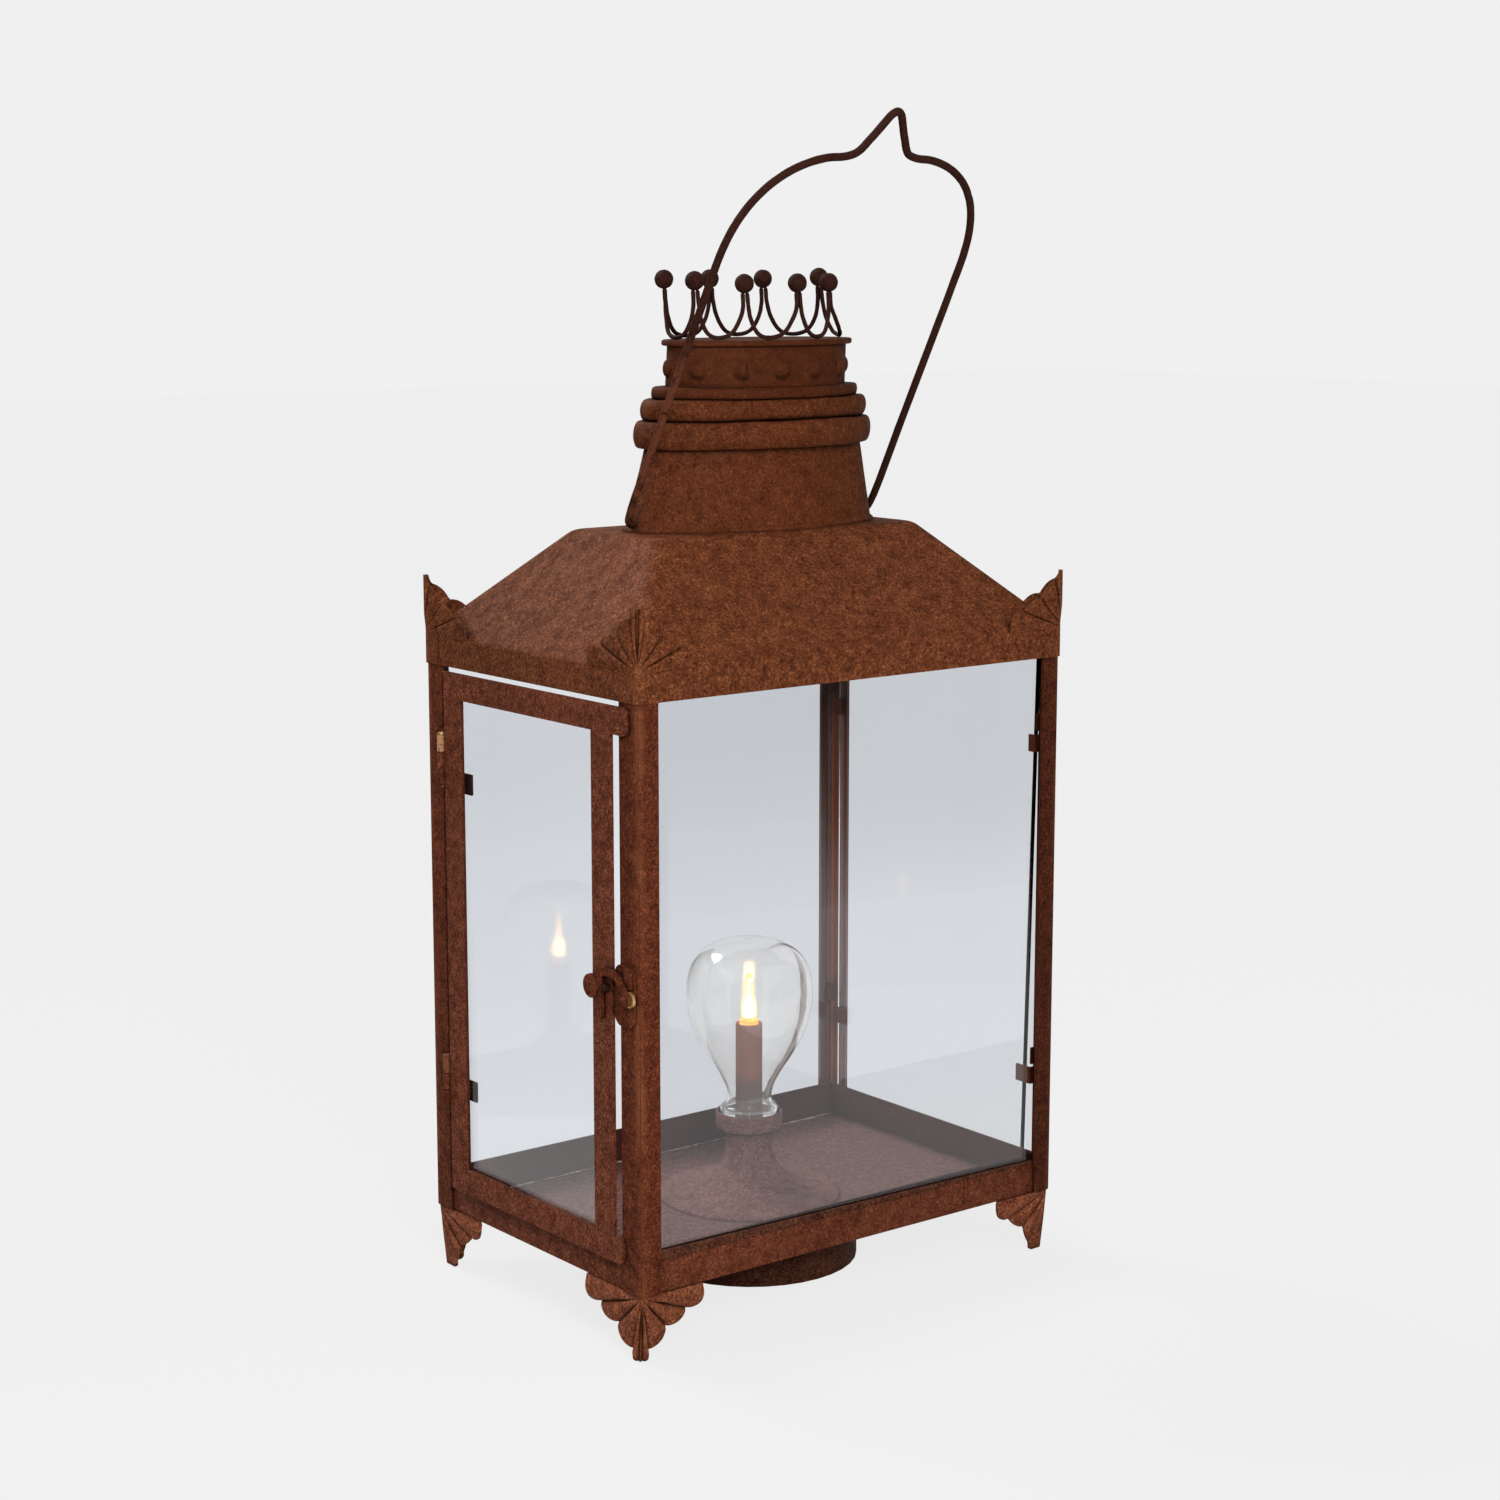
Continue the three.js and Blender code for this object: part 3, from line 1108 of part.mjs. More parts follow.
function holder() {
  const wallIn = CONTACT_X + CONTACT_SHEET + CLEARANCE;
  const halfX = wallIn + HOLDER_SHEET;
  const halfY = CELL_PITCH + CELL_RADIUS * 0.5;
  const base = box(-halfX, halfX, -halfY, halfY, COVER_TOP, COVER_TOP + HOLDER_SHEET);
  const walls = [-1, 1].map((side) => {
    const x = [side * wallIn, side * halfX].sort((a, b) => a - b);
    return box(...x, -halfY, halfY, COVER_TOP, CELL_Z + CELL_RADIUS * 0.5);
  });
  return join(base, ...walls);
}

function batteryBox() {
  const group = new THREE.Group();
  group.position.x = BATTERY_OFFSET;
  add(group, "battery_housing", housing(), rust);
  add(group, "battery_cover", cover(), rust);
  add(group, "battery_holder", holder(), plastic);
  [-1, 0, 1].forEach((row, i) => {
    const mesh = add(group, "battery_" + (i + 1), cell(), cellSteel);
    mesh.position.set(0, row * CELL_PITCH, CELL_Z);
    if (row === 0) mesh.rotation.z = Math.PI;
  });
  add(group, "contacts_right", contactStrip(), spring);
  add(group, "contacts_left", contactStrip(), spring).rotation.z = Math.PI;
  add(group, "switch_slider", slider(), plastic);
  lantern.add(group);
}

// Lamp, on the tray's floor

function lampFoot() {
  const cupBase = FLOOR_Z + CUP_BASE;
  const outside = LAMP_FOOT_LINE.map(([r, h]) => [r, FLOOR_Z + h]);
  const inside = LAMP_FOOT_LINE.map(([r, h], i) => {
    const under = i === 0 ? 0 : Math.max(h - LAMP_FOOT_WALL, WELD_LAP);
    return [r - LAMP_FOOT_WALL, FLOOR_Z + under];
  });
  const webHole = TUBE_RADIUS - TUBE_WALL - 0.6;
  const webUnder = CUP_WEB_TOP - CUP_WEB;
  return turned(
    [
      ...outside,
      [CUP_RADIUS - 0.8, cupBase],
      [CUP_RADIUS, cupBase + 0.8],
      [CUP_RADIUS, cupBase + CUP_HEIGHT],
      [CUP_RADIUS - LAMP_FOOT_WALL, cupBase + CUP_HEIGHT],
      [CUP_RADIUS - LAMP_FOOT_WALL, CUP_WEB_TOP],
      [webHole, CUP_WEB_TOP],
      [webHole, webUnder],
      [LAMP_FOOT_LINE.at(-1)[0] - LAMP_FOOT_WALL, webUnder],
      ...inside.reverse(),
      outside[0],
    ],
    LAMP_SEGMENTS,
  );
}

function candleTube() {
  const inner = TUBE_RADIUS - TUBE_WALL;
  const foot = CUP_WEB_TOP;
  const top = foot + TUBE_HEIGHT;
  const section = [[inner, foot], [TUBE_RADIUS, foot], [TUBE_RADIUS, top], [inner, top], [inner, foot]];
  return turned(section, LAMP_SEGMENTS);
}

function led() {
  const top = CUP_WEB_TOP + TUBE_HEIGHT;
  const holder = TUBE_RADIUS - TUBE_WALL - CLEARANCE;
  return turned(
    [
      [0, top - LED_HOLDER],
      [holder, top - LED_HOLDER],
      [holder, top + LED_LINE[0][1]],
      ...LED_LINE.map(([r, h]) => [r, top + h]),
      [0, top + LED_HEIGHT],
    ],
    16,
  );
}

function bulb() {
  const outside = BULB_LINE.map(([r, h]) => [r, CUP_WEB_TOP + h]);
  const inside = BULB_LINE.map(([r, h], i) => {
    const below = BULB_LINE[Math.max(i - 1, 0)];
    const above = BULB_LINE[Math.min(i + 1, BULB_LINE.length - 1)];
    const length = Math.hypot(above[0] - below[0], above[1] - below[1]);
    const z = h + ((above[0] - below[0]) / length) * BULB_WALL;
    return [r - ((above[1] - below[1]) / length) * BULB_WALL, CUP_WEB_TOP + (i === 0 ? 0 : z)];
  });
  return turned(
    [
      [0, CUP_WEB_TOP + BULB_HEIGHT - BULB_WALL],
      ...inside.reverse(),
      ...outside,
      [0, CUP_WEB_TOP + BULB_HEIGHT],
    ],
    LAMP_SEGMENTS,
  );
}

function lamp() {
  const group = new THREE.Group();
  group.position.x = LAMP_OFFSET;
  add(group, "lamp_foot", lampFoot(), rust);
  add(group, "candle_tube", candleTube(), rust);
  add(group, "led", led(), amber);
  add(group, "glass_bulb", bulb(), glass);
  lantern.add(group);
}

// Assembly

add(lantern, "tray", tray(), rust);
corners();
add(lantern, "roof", roof(), rust);
add(chimney, "neck", leaning(neck()), rust);
add(chimney, "ring_large", leaning(rolledRing(LARGE_RING, LARGE_RING_HEIGHT, LARGE_RING_Z)), rust);
add(chimney, "ring_middle", leaning(rolledRing(MIDDLE_RING, MIDDLE_RING_HEIGHT, MIDDLE_RING_Z)), rust);
add(chimney, "collar", leaning(collar()), rust);
add(chimney, "crown_plate", leaning(crownPlate()), rust);
crown();
lantern.add(chimney);
addBail();
panes();
add(lantern, "door_frame", doorFrame(), rust);
add(lantern, "door_pane", doorPane(), glass);
hinges();
latch();
batteryBox();
lamp();

export default lantern;
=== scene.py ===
"""The looks of the LED lantern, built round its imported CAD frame.

Sizes are in millimetres and are turned into metres where a mesh is made. Up is +Z; the door is on the -X end.
"""

import math

import bmesh
import bpy
from mathutils import Euler, Matrix, Vector, noise

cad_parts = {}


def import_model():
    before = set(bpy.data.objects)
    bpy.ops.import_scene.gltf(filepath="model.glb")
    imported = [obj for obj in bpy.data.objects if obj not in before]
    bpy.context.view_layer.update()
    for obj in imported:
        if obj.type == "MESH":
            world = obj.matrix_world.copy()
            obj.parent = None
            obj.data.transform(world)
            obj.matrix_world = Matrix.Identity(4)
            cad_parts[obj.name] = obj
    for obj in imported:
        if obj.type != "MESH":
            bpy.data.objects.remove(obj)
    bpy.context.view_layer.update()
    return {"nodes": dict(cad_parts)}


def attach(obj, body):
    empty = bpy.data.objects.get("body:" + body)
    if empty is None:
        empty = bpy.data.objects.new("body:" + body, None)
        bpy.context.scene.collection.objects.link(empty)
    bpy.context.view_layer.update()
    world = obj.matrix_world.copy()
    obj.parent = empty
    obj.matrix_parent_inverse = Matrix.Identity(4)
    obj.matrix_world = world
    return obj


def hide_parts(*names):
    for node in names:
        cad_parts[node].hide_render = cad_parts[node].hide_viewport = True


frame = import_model()
nodes = frame["nodes"]
MM = 0.001

# Sizes of the CAD part that these pieces follow
HALF_WIDTH = 90.0
HALF_DEPTH = 61.0
TRAY_Z = 21.7
FLOOR_Z = 22.7
BAND_TOP = 32.2
EAVE_Z = 212.8
ROOF_FOLD_Z = 222.6
ROOF_TOP_Z = 258.8
ROOF_TOP_HALF = (55.5, 24.75)
EAVE_PROUD = 0.3
EAVE_ROUND = 1.6
CHIMNEY_X = 2.2
CHIMNEY_LEAN = 0.05
LAMP_X = 0.8
BATTERY_X = 2.2
CUP_WEB_TOP = 51.2
TUBE_TOP = 84.7
LED_HEIGHT = 18
RIVET_Y = -57.5
RIVET_Z = 119.16
HINGE_X = -91.6
HINGE_Y = 49.5
HINGE_Z = (68.7, 180.8)
KNUCKLE_PITCH = 5.9
DOOR_BACK_X = -90.3


# Node trees


def new_material(name):
    material = bpy.data.materials.new(name)
    material.use_nodes = True
    tree = material.node_tree
    return material, tree, tree.nodes["Principled BSDF"]


def feed(tree, value, socket):
    """Links a node's output to a socket, or sets the socket to a number or a colour."""
    if isinstance(value, bpy.types.NodeSocket):
        tree.links.new(value, socket)
    elif socket.type == "RGBA":
        socket.default_value = (*value, 1)
    else:
        socket.default_value = value


def fill(tree, node, values):
    """Feeds the inputs of a node that values names."""
    for name, value in values.items():
        feed(tree, value, node.inputs[name])


def object_place(tree):
    return tree.nodes.new("ShaderNodeTexCoord").outputs["Object"]


def noise_node(tree, scale, detail=4.0, roughness=0.6, stretch=None):
    place = object_place(tree)
    if stretch:
        mapping = tree.nodes.new("ShaderNodeMapping")
        fill(tree, mapping, {"Vector": place, "Scale": stretch})
        place = mapping.outputs["Vector"]
    node = tree.nodes.new("ShaderNodeTexNoise")
    fill(tree, node, {"Vector": place, "Scale": scale, "Detail": detail, "Roughness": roughness})
    return node.outputs["Fac"]


def ramp(tree, fac, stops):
    node = tree.nodes.new("ShaderNodeValToRGB")
    elements = node.color_ramp.elements
    while len(elements) < len(stops):
        elements.new(0.5)
    for element, (place, colour) in zip(elements, stops):
        element.position = place
        element.color = (*colour, 1)
    feed(tree, fac, node.inputs["Fac"])
    return node.outputs["Color"]


def grey_ramp(tree, fac, stops):
    return ramp(tree, fac, [(place, (value,) * 3) for place, value in stops])


def mix(tree, fac, a, b, blend="MIX"):
    """Two colours mixed, with all of b where fac is 1."""
    node = tree.nodes.new("ShaderNodeMix")
    node.data_type = "RGBA"
    node.blend_type = blend
    feed(tree, fac, node.inputs[0])
    colours = [socket for socket in node.inputs if socket.type == "RGBA"]
    for value, socket in zip((a, b), colours):
        feed(tree, value, socket)
    return next(socket for socket in node.outputs if socket.type == "RGBA")


def maths(tree, operation, *values):
    node = tree.nodes.new("ShaderNodeMath")
    node.operation = operation
    for value, socket in zip(values, node.inputs):
        feed(tree, value, socket)
    return node.outputs["Value"]


def product(tree, first, *others):
    result = first
    for value in others:
        result = maths(tree, "MULTIPLY", result, value)
    return result


def step_up(tree, value, low, high):
    """0 where value is under low and 1 where it is over high, with a soft rise between them."""
    node = tree.nodes.new("ShaderNodeMapRange")
    node.interpolation_type = "SMOOTHSTEP"
    fill(tree, node, {"Value": value, "From Min": low, "From Max": high})
    return node.outputs["Result"]


def axes(tree):
    node = tree.nodes.new("ShaderNodeSeparateXYZ")
    feed(tree, object_place(tree), node.inputs["Vector"])
    return node.outputs["X"], node.outputs["Y"], node.outputs["Z"]


def near(tree, centre, inner, outer):
    """1 within inner mm of a point, fading to 0 at outer mm."""
    node = tree.nodes.new("ShaderNodeVectorMath")
    node.operation = "DISTANCE"
    feed(tree, object_place(tree), node.inputs[0])
    feed(tree, Vector(centre) * MM, node.inputs[1])
    return maths(tree, "SUBTRACT", 1.0, step_up(tree, node.outputs["Value"], inner * MM, outer * MM))


def bump(tree, height, strength, depth, normal=None):
    """Relief up to depth mm deep, on top of the normal given."""
    node = tree.nodes.new("ShaderNodeBump")
    fill(tree, node, {"Height": height, "Strength": strength, "Distance": depth * MM})
    if normal:
        feed(tree, normal, node.inputs["Normal"])
    return node.outputs["Normal"]


def ray_kind(tree, first, *others):
    """1 for a ray of any of the kinds named. A count of bounces, named alone, comes out as it is."""
    path = tree.nodes.new("ShaderNodeLightPath")
    result = path.outputs[first]
    for kind in others:
        result = maths(tree, "MAXIMUM", result, path.outputs[kind])
    return result


def see_through(tree, colour=(1.0, 1.0, 1.0)):
    node = tree.nodes.new("ShaderNodeBsdfTransparent")
    feed(tree, colour, node.inputs["Color"])
    return node.outputs["BSDF"]


def emission(tree, colour, strength):
    node = tree.nodes.new("ShaderNodeEmission")
    fill(tree, node, {"Color": colour, "Strength": strength})
    return node.outputs["Emission"]


def join_shaders(tree, fac, first, second):
    """Two shaders mixed, with all of the second where fac is 1."""
    node = tree.nodes.new("ShaderNodeMixShader")
    for value, socket in zip((fac, first, second), node.inputs):
        feed(tree, value, socket)
    return node.outputs["Shader"]


def show(tree, shader, output="Material Output"):
    feed(tree, shader, tree.nodes[output].inputs["Surface"])


def srgb(r, g, b):
    def linear(c):
        c = c / 255
        return c / 12.92 if c <= 0.04045 else ((c + 0.055) / 1.055) ** 2.4

    return linear(r), linear(g), linear(b)


def scaled(colour, factor):
    return tuple(factor * c for c in colour)


# Materials

PAINTED_SHADE_ATTRIBUTE = "groove_shade"  # a mesh attribute, 1 where shade is painted: in a pressed groove and under a boss
INSIDE_BROWN = srgb(80, 38, 23)
# colour of the worn and painted highlight along the box's folds
FOLD_WEAR_AND_HIGHLIGHT_BROWN = srgb(150, 92, 60)
# dust with painted shade on the tray's inner rails
RAIL_DUST_AND_SHADE = srgb(52, 31, 31)
DOOR_BACK_BROWN = srgb(24, 16, 12)

# What the patina's body colour is multiplied by, against each noise
CLOUDS = [(0.32, 0.90), (0.68, 1.08)]
MOTTLES = [(0.36, (0.62, 0.57, 0.54)), (0.5, (1.0, 1.0, 1.0)), (0.64, (1.30, 1.38, 1.38))]
GRAINS = [
    (0.34, (0.2, 0.17, 0.16)),
    (0.47, (0.88, 0.86, 0.85)),
    (0.55, (1.0, 1.0, 1.0)),
    (0.70, (2.3, 2.6, 2.7)),
]
FLOOR_DUST = [(0.38, srgb(70, 53, 52)), (0.5, srgb(97, 75, 74)), (0.64, srgb(136, 109, 107))]

# Painted shade in corners, seams and grooves: how far it reaches, where it rises, how much it covers and how
# dark it is
CREVICE_REACH = 5.0
CREVICE_RISE = (0.12, 0.7)
PAINTED_SHADE_COVER = 0.88
PAINTED_SHADE_TONE = 0.12  # share of the body colour left where shade is painted
FOLD_BRIGHT_START = 4.2  # mm in from the box's sides, where the wear and painted highlight on the folds begin
FOLD_BRIGHT_FULL = 0.6
FLOOR_LEVEL = 0.8  # mm above and below the tray's floor that count as floor
RAIL_COVER = 0.8
TRAY_WALL = 1.7
POST_SKIN = 0.5  # mm in from the box's sides, where a post's inner faces begin
CLIP_SKIN = 1.6  # and where its clips begin


def painted_crevice_shade(tree):
    """Where shade is painted: 1 in corners, seams and pressed grooves, 0 on open faces."""
    node = tree.nodes.new("ShaderNodeAmbientOcclusion")
    node.samples = 6
    feed(tree, CREVICE_REACH * MM, node.inputs["Distance"])
    closed = step_up(tree, maths(tree, "SUBTRACT", 1.0, node.outputs["AO"]), *CREVICE_RISE)
    pressed = tree.nodes.new("ShaderNodeAttribute")
    pressed.attribute_name = PAINTED_SHADE_ATTRIBUTE
    return maths(tree, "MAXIMUM", closed, pressed.outputs["Fac"])


def from_middle(tree):
    """How far a point is from the box's middle along X and along Y, with half the box's size that way."""
    x, y, _ = axes(tree)
    return (maths(tree, "ABSOLUTE", x), HALF_WIDTH), (maths(tree, "ABSOLUTE", y), HALF_DEPTH)


def fold_wear_and_highlight(tree):
    """1 along the vertical folds of the box's four corners, in patches, for rubbed wear with a painted
    highlight.
    """
    sides = [
        step_up(tree, away, (half - FOLD_BRIGHT_START) * MM, (half - FOLD_BRIGHT_FULL) * MM)
        for away, half in from_middle(tree)
    ]
    patches = step_up(tree, noise_node(tree, 110, 4, 0.65, (1, 1, 0.35)), 0.34, 0.66)
    return product(tree, *sides, patches)


def within(tree, inset):
    """1 nearer to the box's middle than inset mm inside all four of its sides."""
    inner = [maths(tree, "LESS_THAN", away, (half - inset) * MM) for away, half in from_middle(tree)]
    return product(tree, *inner)


def rust(name, body, folds=0.0, spots=(), covered=None, speckle=1.0):
    """A matt brown patina: even at arm's length and speckled close by, with painted shade in its seams.

    folds is how much the box's folds are lightened by wear and a painted highlight. spots lists (centre,
    radius, colour) in mm for worn places and places of painted light.
    covered is a function of the tree that says where another colour lies over the patina, and that colour.
    """
    material, tree, shader = new_material(name)
    mottle = noise_node(tree, 260, 5, 0.75)
    grains = noise_node(tree, 1150, 3, 0.8)
    clouds = grey_ramp(tree, noise_node(tree, 24, 3, 0.5), CLOUDS)
    colour = mix(tree, 1.0, body, clouds, "MULTIPLY")
    colour = mix(tree, speckle, colour, ramp(tree, mottle, MOTTLES), "MULTIPLY")
    colour = mix(tree, speckle, colour, ramp(tree, grains, GRAINS), "MULTIPLY")
    # folds lightened by wear and a painted highlight
    if folds:
        colour = mix(tree, product(tree, fold_wear_and_highlight(tree), folds), colour, FOLD_WEAR_AND_HIGHLIGHT_BROWN)
    if covered:
        where, over = covered(tree)
        colour = mix(tree, where, colour, over)
    for centre, radius, paint in spots:
        patches = step_up(tree, mottle, 0.36, 0.52)
        colour = mix(tree, product(tree, near(tree, centre, 0.7 * radius, radius), patches), colour, paint)
    # painted shade in corners, seams and pressed grooves
    painted_shade = product(tree, painted_crevice_shade(tree), PAINTED_SHADE_COVER)
    colour = mix(tree, painted_shade, colour, scaled(body, PAINTED_SHADE_TONE))
    grain = bump(tree, grains, 0.5, 0.5)
    looks = {
        "Base Color": colour,
        "Roughness": grey_ramp(tree, mottle, [(0.3, 0.78), (0.7, 0.60)]),
        "Specular IOR Level": 0.05,
        "Normal": bump(tree, noise_node(tree, 50, 2, 0.4), 0.14, 1.6, grain),
    }
    fill(tree, shader, looks)
    return material


def inside_floor(tree):
    """The tray's floor under a film of pale dust, and its inner rails in darker dust with painted shade."""
    z = axes(tree)[2]
    level = maths(tree, "COMPARE", z, FLOOR_Z * MM, FLOOR_LEVEL * MM)
    # the inner rails: dust darkened with painted shade
    rails = maths(tree, "GREATER_THAN", z, (FLOOR_Z + FLOOR_LEVEL) * MM)
    film = grey_ramp(tree, noise_node(tree, 900, 5, 0.85), [(0.38, 0.3), (0.6, 1.0)])
    thickness = maths(tree, "ADD", product(tree, level, film), product(tree, rails, RAIL_COVER))
    dust = ramp(tree, noise_node(tree, 620, 4, 0.85), FLOOR_DUST)
    return product(tree, within(tree, TRAY_WALL), thickness), mix(tree, level, RAIL_DUST_AND_SHADE, dust)


def inside_post(paint):
    """The inner faces of a post, which take the paint given, and the brown clips on them."""

    def covered(tree):
        return within(tree, POST_SKIN), mix(tree, within(tree, CLIP_SKIN), paint, INSIDE_BROWN)

    return covered


def behind_door(tree):
    """The door's clips and its back, inside the lantern, which are near black."""
    x = axes(tree)[0]
    return maths(tree, "GREATER_THAN", x, (DOOR_BACK_X + 0.1) * MM), DOOR_BACK_BROWN


def clear_glass(name, tint, passing, ripple, haze=0.0, glow=0.0):
    """Glass that bends and mirrors what the eye sees, and lets lamp light through to what stands behind it.

    haze is how much a smeared film of dust covers, and glow is the strength of a painted warm glow on that
    film, in place of the LED's light on it.
    """
    material, tree, shader = new_material(name)
    looks = {"Base Color": tint, "Transmission Weight": 1, "Roughness": 0.0, "IOR": 1.5}
    looks["Normal"] = bump(tree, noise_node(tree, 18, 2, 0.4), ripple, 1.0)
    fill(tree, shader, looks)
    seen = shader.outputs["BSDF"]
    if haze:
        film = tree.nodes.new("ShaderNodeBsdfDiffuse")
        feed(tree, (0.96, 0.96, 0.96), film.inputs["Color"])
        smears = grey_ramp(tree, noise_node(tree, 60, 4, 0.6), [(0.35, 0.4 * haze), (0.7, 1.6 * haze)])
        both = tree.nodes.new("ShaderNodeAddShader")
        feed(tree, join_shaders(tree, smears, seen, film.outputs["BSDF"]), both.inputs[0])
        # a painted glow on the dust film
        feed(tree, emission(tree, (1.0, 0.86, 0.72), glow), both.inputs[1])
        seen = both.outputs["Shader"]
    light = ray_kind(tree, "Is Shadow Ray", "Is Diffuse Ray")
    show(tree, join_shaders(tree, light, seen, see_through(tree, passing)))
    return material


def brass(name, dark, middle, bright):
    material, tree, shader = new_material(name)
    tarnish = noise_node(tree, 420, 4, 0.6)
    looks = {
        "Base Color": ramp(tree, tarnish, [(0.35, dark), (0.52, middle), (0.7, bright)]),
        "Roughness": grey_ramp(tree, tarnish, [(0.3, 0.6), (0.7, 0.35)]),
        "Metallic": 0.6,
        "Normal": bump(tree, tarnish, 0.2, 0.3),
    }
    fill(tree, shader, looks)
    return material


def moulded(name, colour, roughness):
    material, tree, shader = new_material(name)
    grain = noise_node(tree, 1800, 2, 0.5)
    pale = tuple(min(1, 1.5 * c + 0.004) for c in colour)
    looks = {
        "Base Color": ramp(tree, grain, [(0.3, colour), (0.75, pale)]),
        "Roughness": roughness,
        "Normal": bump(tree, grain, 0.12, 0.2),
    }
    fill(tree, shader, looks)
    return material


def plated(name, colour, roughness, brushed):
    material, tree, shader = new_material(name)
    lines = noise_node(tree, 260, 3, 0.6, brushed)
    looks = {
        "Base Color": ramp(tree, lines, [(0.3, scaled(colour, 0.7)), (0.7, colour)]),
        "Roughness": grey_ramp(tree, lines, [(0.3, roughness + 0.1), (0.7, roughness)]),
        "Metallic": 0.85,
        "Normal": bump(tree, lines, 0.08, 0.2),
    }
    fill(tree, shader, looks)
    return material


def glowing(name, stops, powers, clear=0.0):
    """A lit form whose colour and strength change with height, as a share of the LED's own height.

    clear is how much of what stands inside it shows.
    """
    material, tree, shader = new_material(name)
    up = maths(tree, "SUBTRACT", axes(tree)[2], TUBE_TOP * MM)
    height = maths(tree, "DIVIDE", up, LED_HEIGHT * MM)
    glow = ramp(tree, height, stops)
    streaks = grey_ramp(tree, noise_node(tree, 420, 2, 0.5), [(0.3, 0.75), (0.7, 1.0)])
    power = mix(tree, 1.0, grey_ramp(tree, height, powers), streaks, "MULTIPLY")
    looks = {"Base Color": glow, "Emission Color": glow, "Emission Strength": power, "Roughness": 0.25}
    fill(tree, shader, looks)
    if clear:
        show(tree, join_shaders(tree, clear, shader.outputs["BSDF"], see_through(tree, (1.0, 0.9, 0.7))))
    return material


SHEET_BROWN = srgb(85, 40, 23)
SHADED_BROWN = scaled(SHEET_BROWN, 0.6)
ROOF_BROWN = srgb(94, 50, 28)
CHIMNEY_BROWN = srgb(82, 41, 20)
COLLAR_BROWN = srgb(70, 33, 15)
WIRE_BROWN = srgb(46, 23, 16)
DRUM_BROWN = srgb(74, 42, 29)
HINGE_PAINTS = (srgb(110, 66, 42), srgb(168, 126, 92))  # the upper knuckle is rubbed brighter than the lower
# painted light: a lighter patch on the bail's left arm, as light falling from the left
ARM_PAINTED_LIGHT = ((-50, -6, 272), 62, srgb(86, 46, 30))
LAMP_LIGHT_PASSING = (0.97, 0.975, 0.98)

inside_brown_post = inside_post(INSIDE_BROWN)
rubbed_knuckles = [
    ((HINGE_X, HINGE_Y, z + KNUCKLE_PITCH), 4.6, paint) for z, paint in zip(HINGE_Z, HINGE_PAINTS)
]

sheet = rust("rusted_sheet", SHEET_BROWN, folds=0.3, covered=inside_brown_post)
shaded_sheet = rust("rusted_shaded_sheet", SHADED_BROWN, folds=0.2, covered=inside_brown_post)
# painted shade and light: the far post takes the darker sheet colour, and its inner faces a bright brown that
# stands in for light through the panes
far_sheet_painted_shade_and_light = rust("rusted_far_post_painted_shade_and_light", SHADED_BROWN, folds=0.2, covered=inside_post(srgb(172, 100, 72)))
foot_sheet = rust("rusted_foot", srgb(113, 63, 42), folds=0.3)
tray_sheet = rust("rusted_tray", srgb(93, 48, 31), folds=0.3, covered=inside_floor)
door_sheet = rust("rusted_door", srgb(96, 50, 33), covered=behind_door)
hinged_sheet = rust("rusted_hinged_post", SHEET_BROWN, 0.3, rubbed_knuckles, inside_brown_post)
roof_sheet = rust("rusted_roof", ROOF_BROWN, folds=0.3)
chimney_sheet = rust("rusted_chimney", CHIMNEY_BROWN, speckle=0.75)
collar_sheet = rust("rusted_collar", COLLAR_BROWN, speckle=0.45)
wire = rust("rusted_wire", WIRE_BROWN, speckle=0.4)
bail_wire = rust("rusted_bail", WIRE_BROWN, spots=[ARM_PAINTED_LIGHT], speckle=0.4)
drum_sheet = rust("rusted_drum", DRUM_BROWN)
lamp_sheet = rust("rusted_lamp", srgb(110, 78, 72), speckle=0.7)
tube_sheet = rust("rusted_tube", srgb(118, 56, 36), speckle=0.5)
seam_metal = rust("weld_seam", srgb(164, 138, 130))
# The panes share one glass: the front pane's copy is tinted darker as painted shade, and the end panes' copy
# is clearer as painted light.
pane_glass = clear_glass("pane_glass", (0.893, 0.915, 0.95), LAMP_LIGHT_PASSING, 0.03)
shaded_front_glass = clear_glass("shaded_front_glass", (0.828, 0.846, 0.87), LAMP_LIGHT_PASSING, 0.03)
lit_end_glass = clear_glass("lit_end_glass", (0.965, 0.98, 1.0), LAMP_LIGHT_PASSING, 0.03)
bulb_glass = clear_glass("bulb_glass", (0.99, 0.99, 0.985), (0.985, 0.985, 0.98), 0.08, haze=0.03, glow=0.02)
worn_brass = brass("worn_brass", srgb(96, 66, 40), srgb(170, 130, 78), srgb(206, 172, 118))
dull_brass = brass("dull_brass", srgb(70, 40, 26), srgb(110, 68, 44), srgb(140, 94, 62))
black_plastic = moulded("black_plastic", srgb(24, 24, 25), 0.5)
cell_jacket = plated("cell_jacket", srgb(150, 152, 155), 0.32, (1, 12, 12))
nickel = plated("nickel_contact", srgb(190, 187, 178), 0.25, (1, 1, 10))

LENS_COLOURS = [
    (0.0, srgb(255, 190, 70)),
    (0.2, srgb(255, 205, 100)),
    (0.5, srgb(255, 214, 130)),
    (1.0, srgb(255, 190, 96)),
]
LENS_POWERS = [(0.0, 0.9), (0.2, 0.8), (0.38, 1.5), (0.62, 0.8), (1.0, 0.9)]
CORE_COLOURS = [(0.0, srgb(255, 216, 130)), (0.3, srgb(255, 240, 205)), (1.0, srgb(255, 226, 170))]
CORE_POWERS = [(0.0, 3.0), (0.3, 30.0), (0.55, 14.0), (1.0, 3.0)]

led_lens = glowing("led_lens", LENS_COLOURS, LENS_POWERS, clear=0.55)
led_core = glowing("led_core", CORE_COLOURS, CORE_POWERS)


# Making meshes

EDGE_DEGREES = 35  # forms are sharp where they fold by more than this
FLAT_DEGREES = 0.6  # CAD facets that fold by less than this are joined into one face


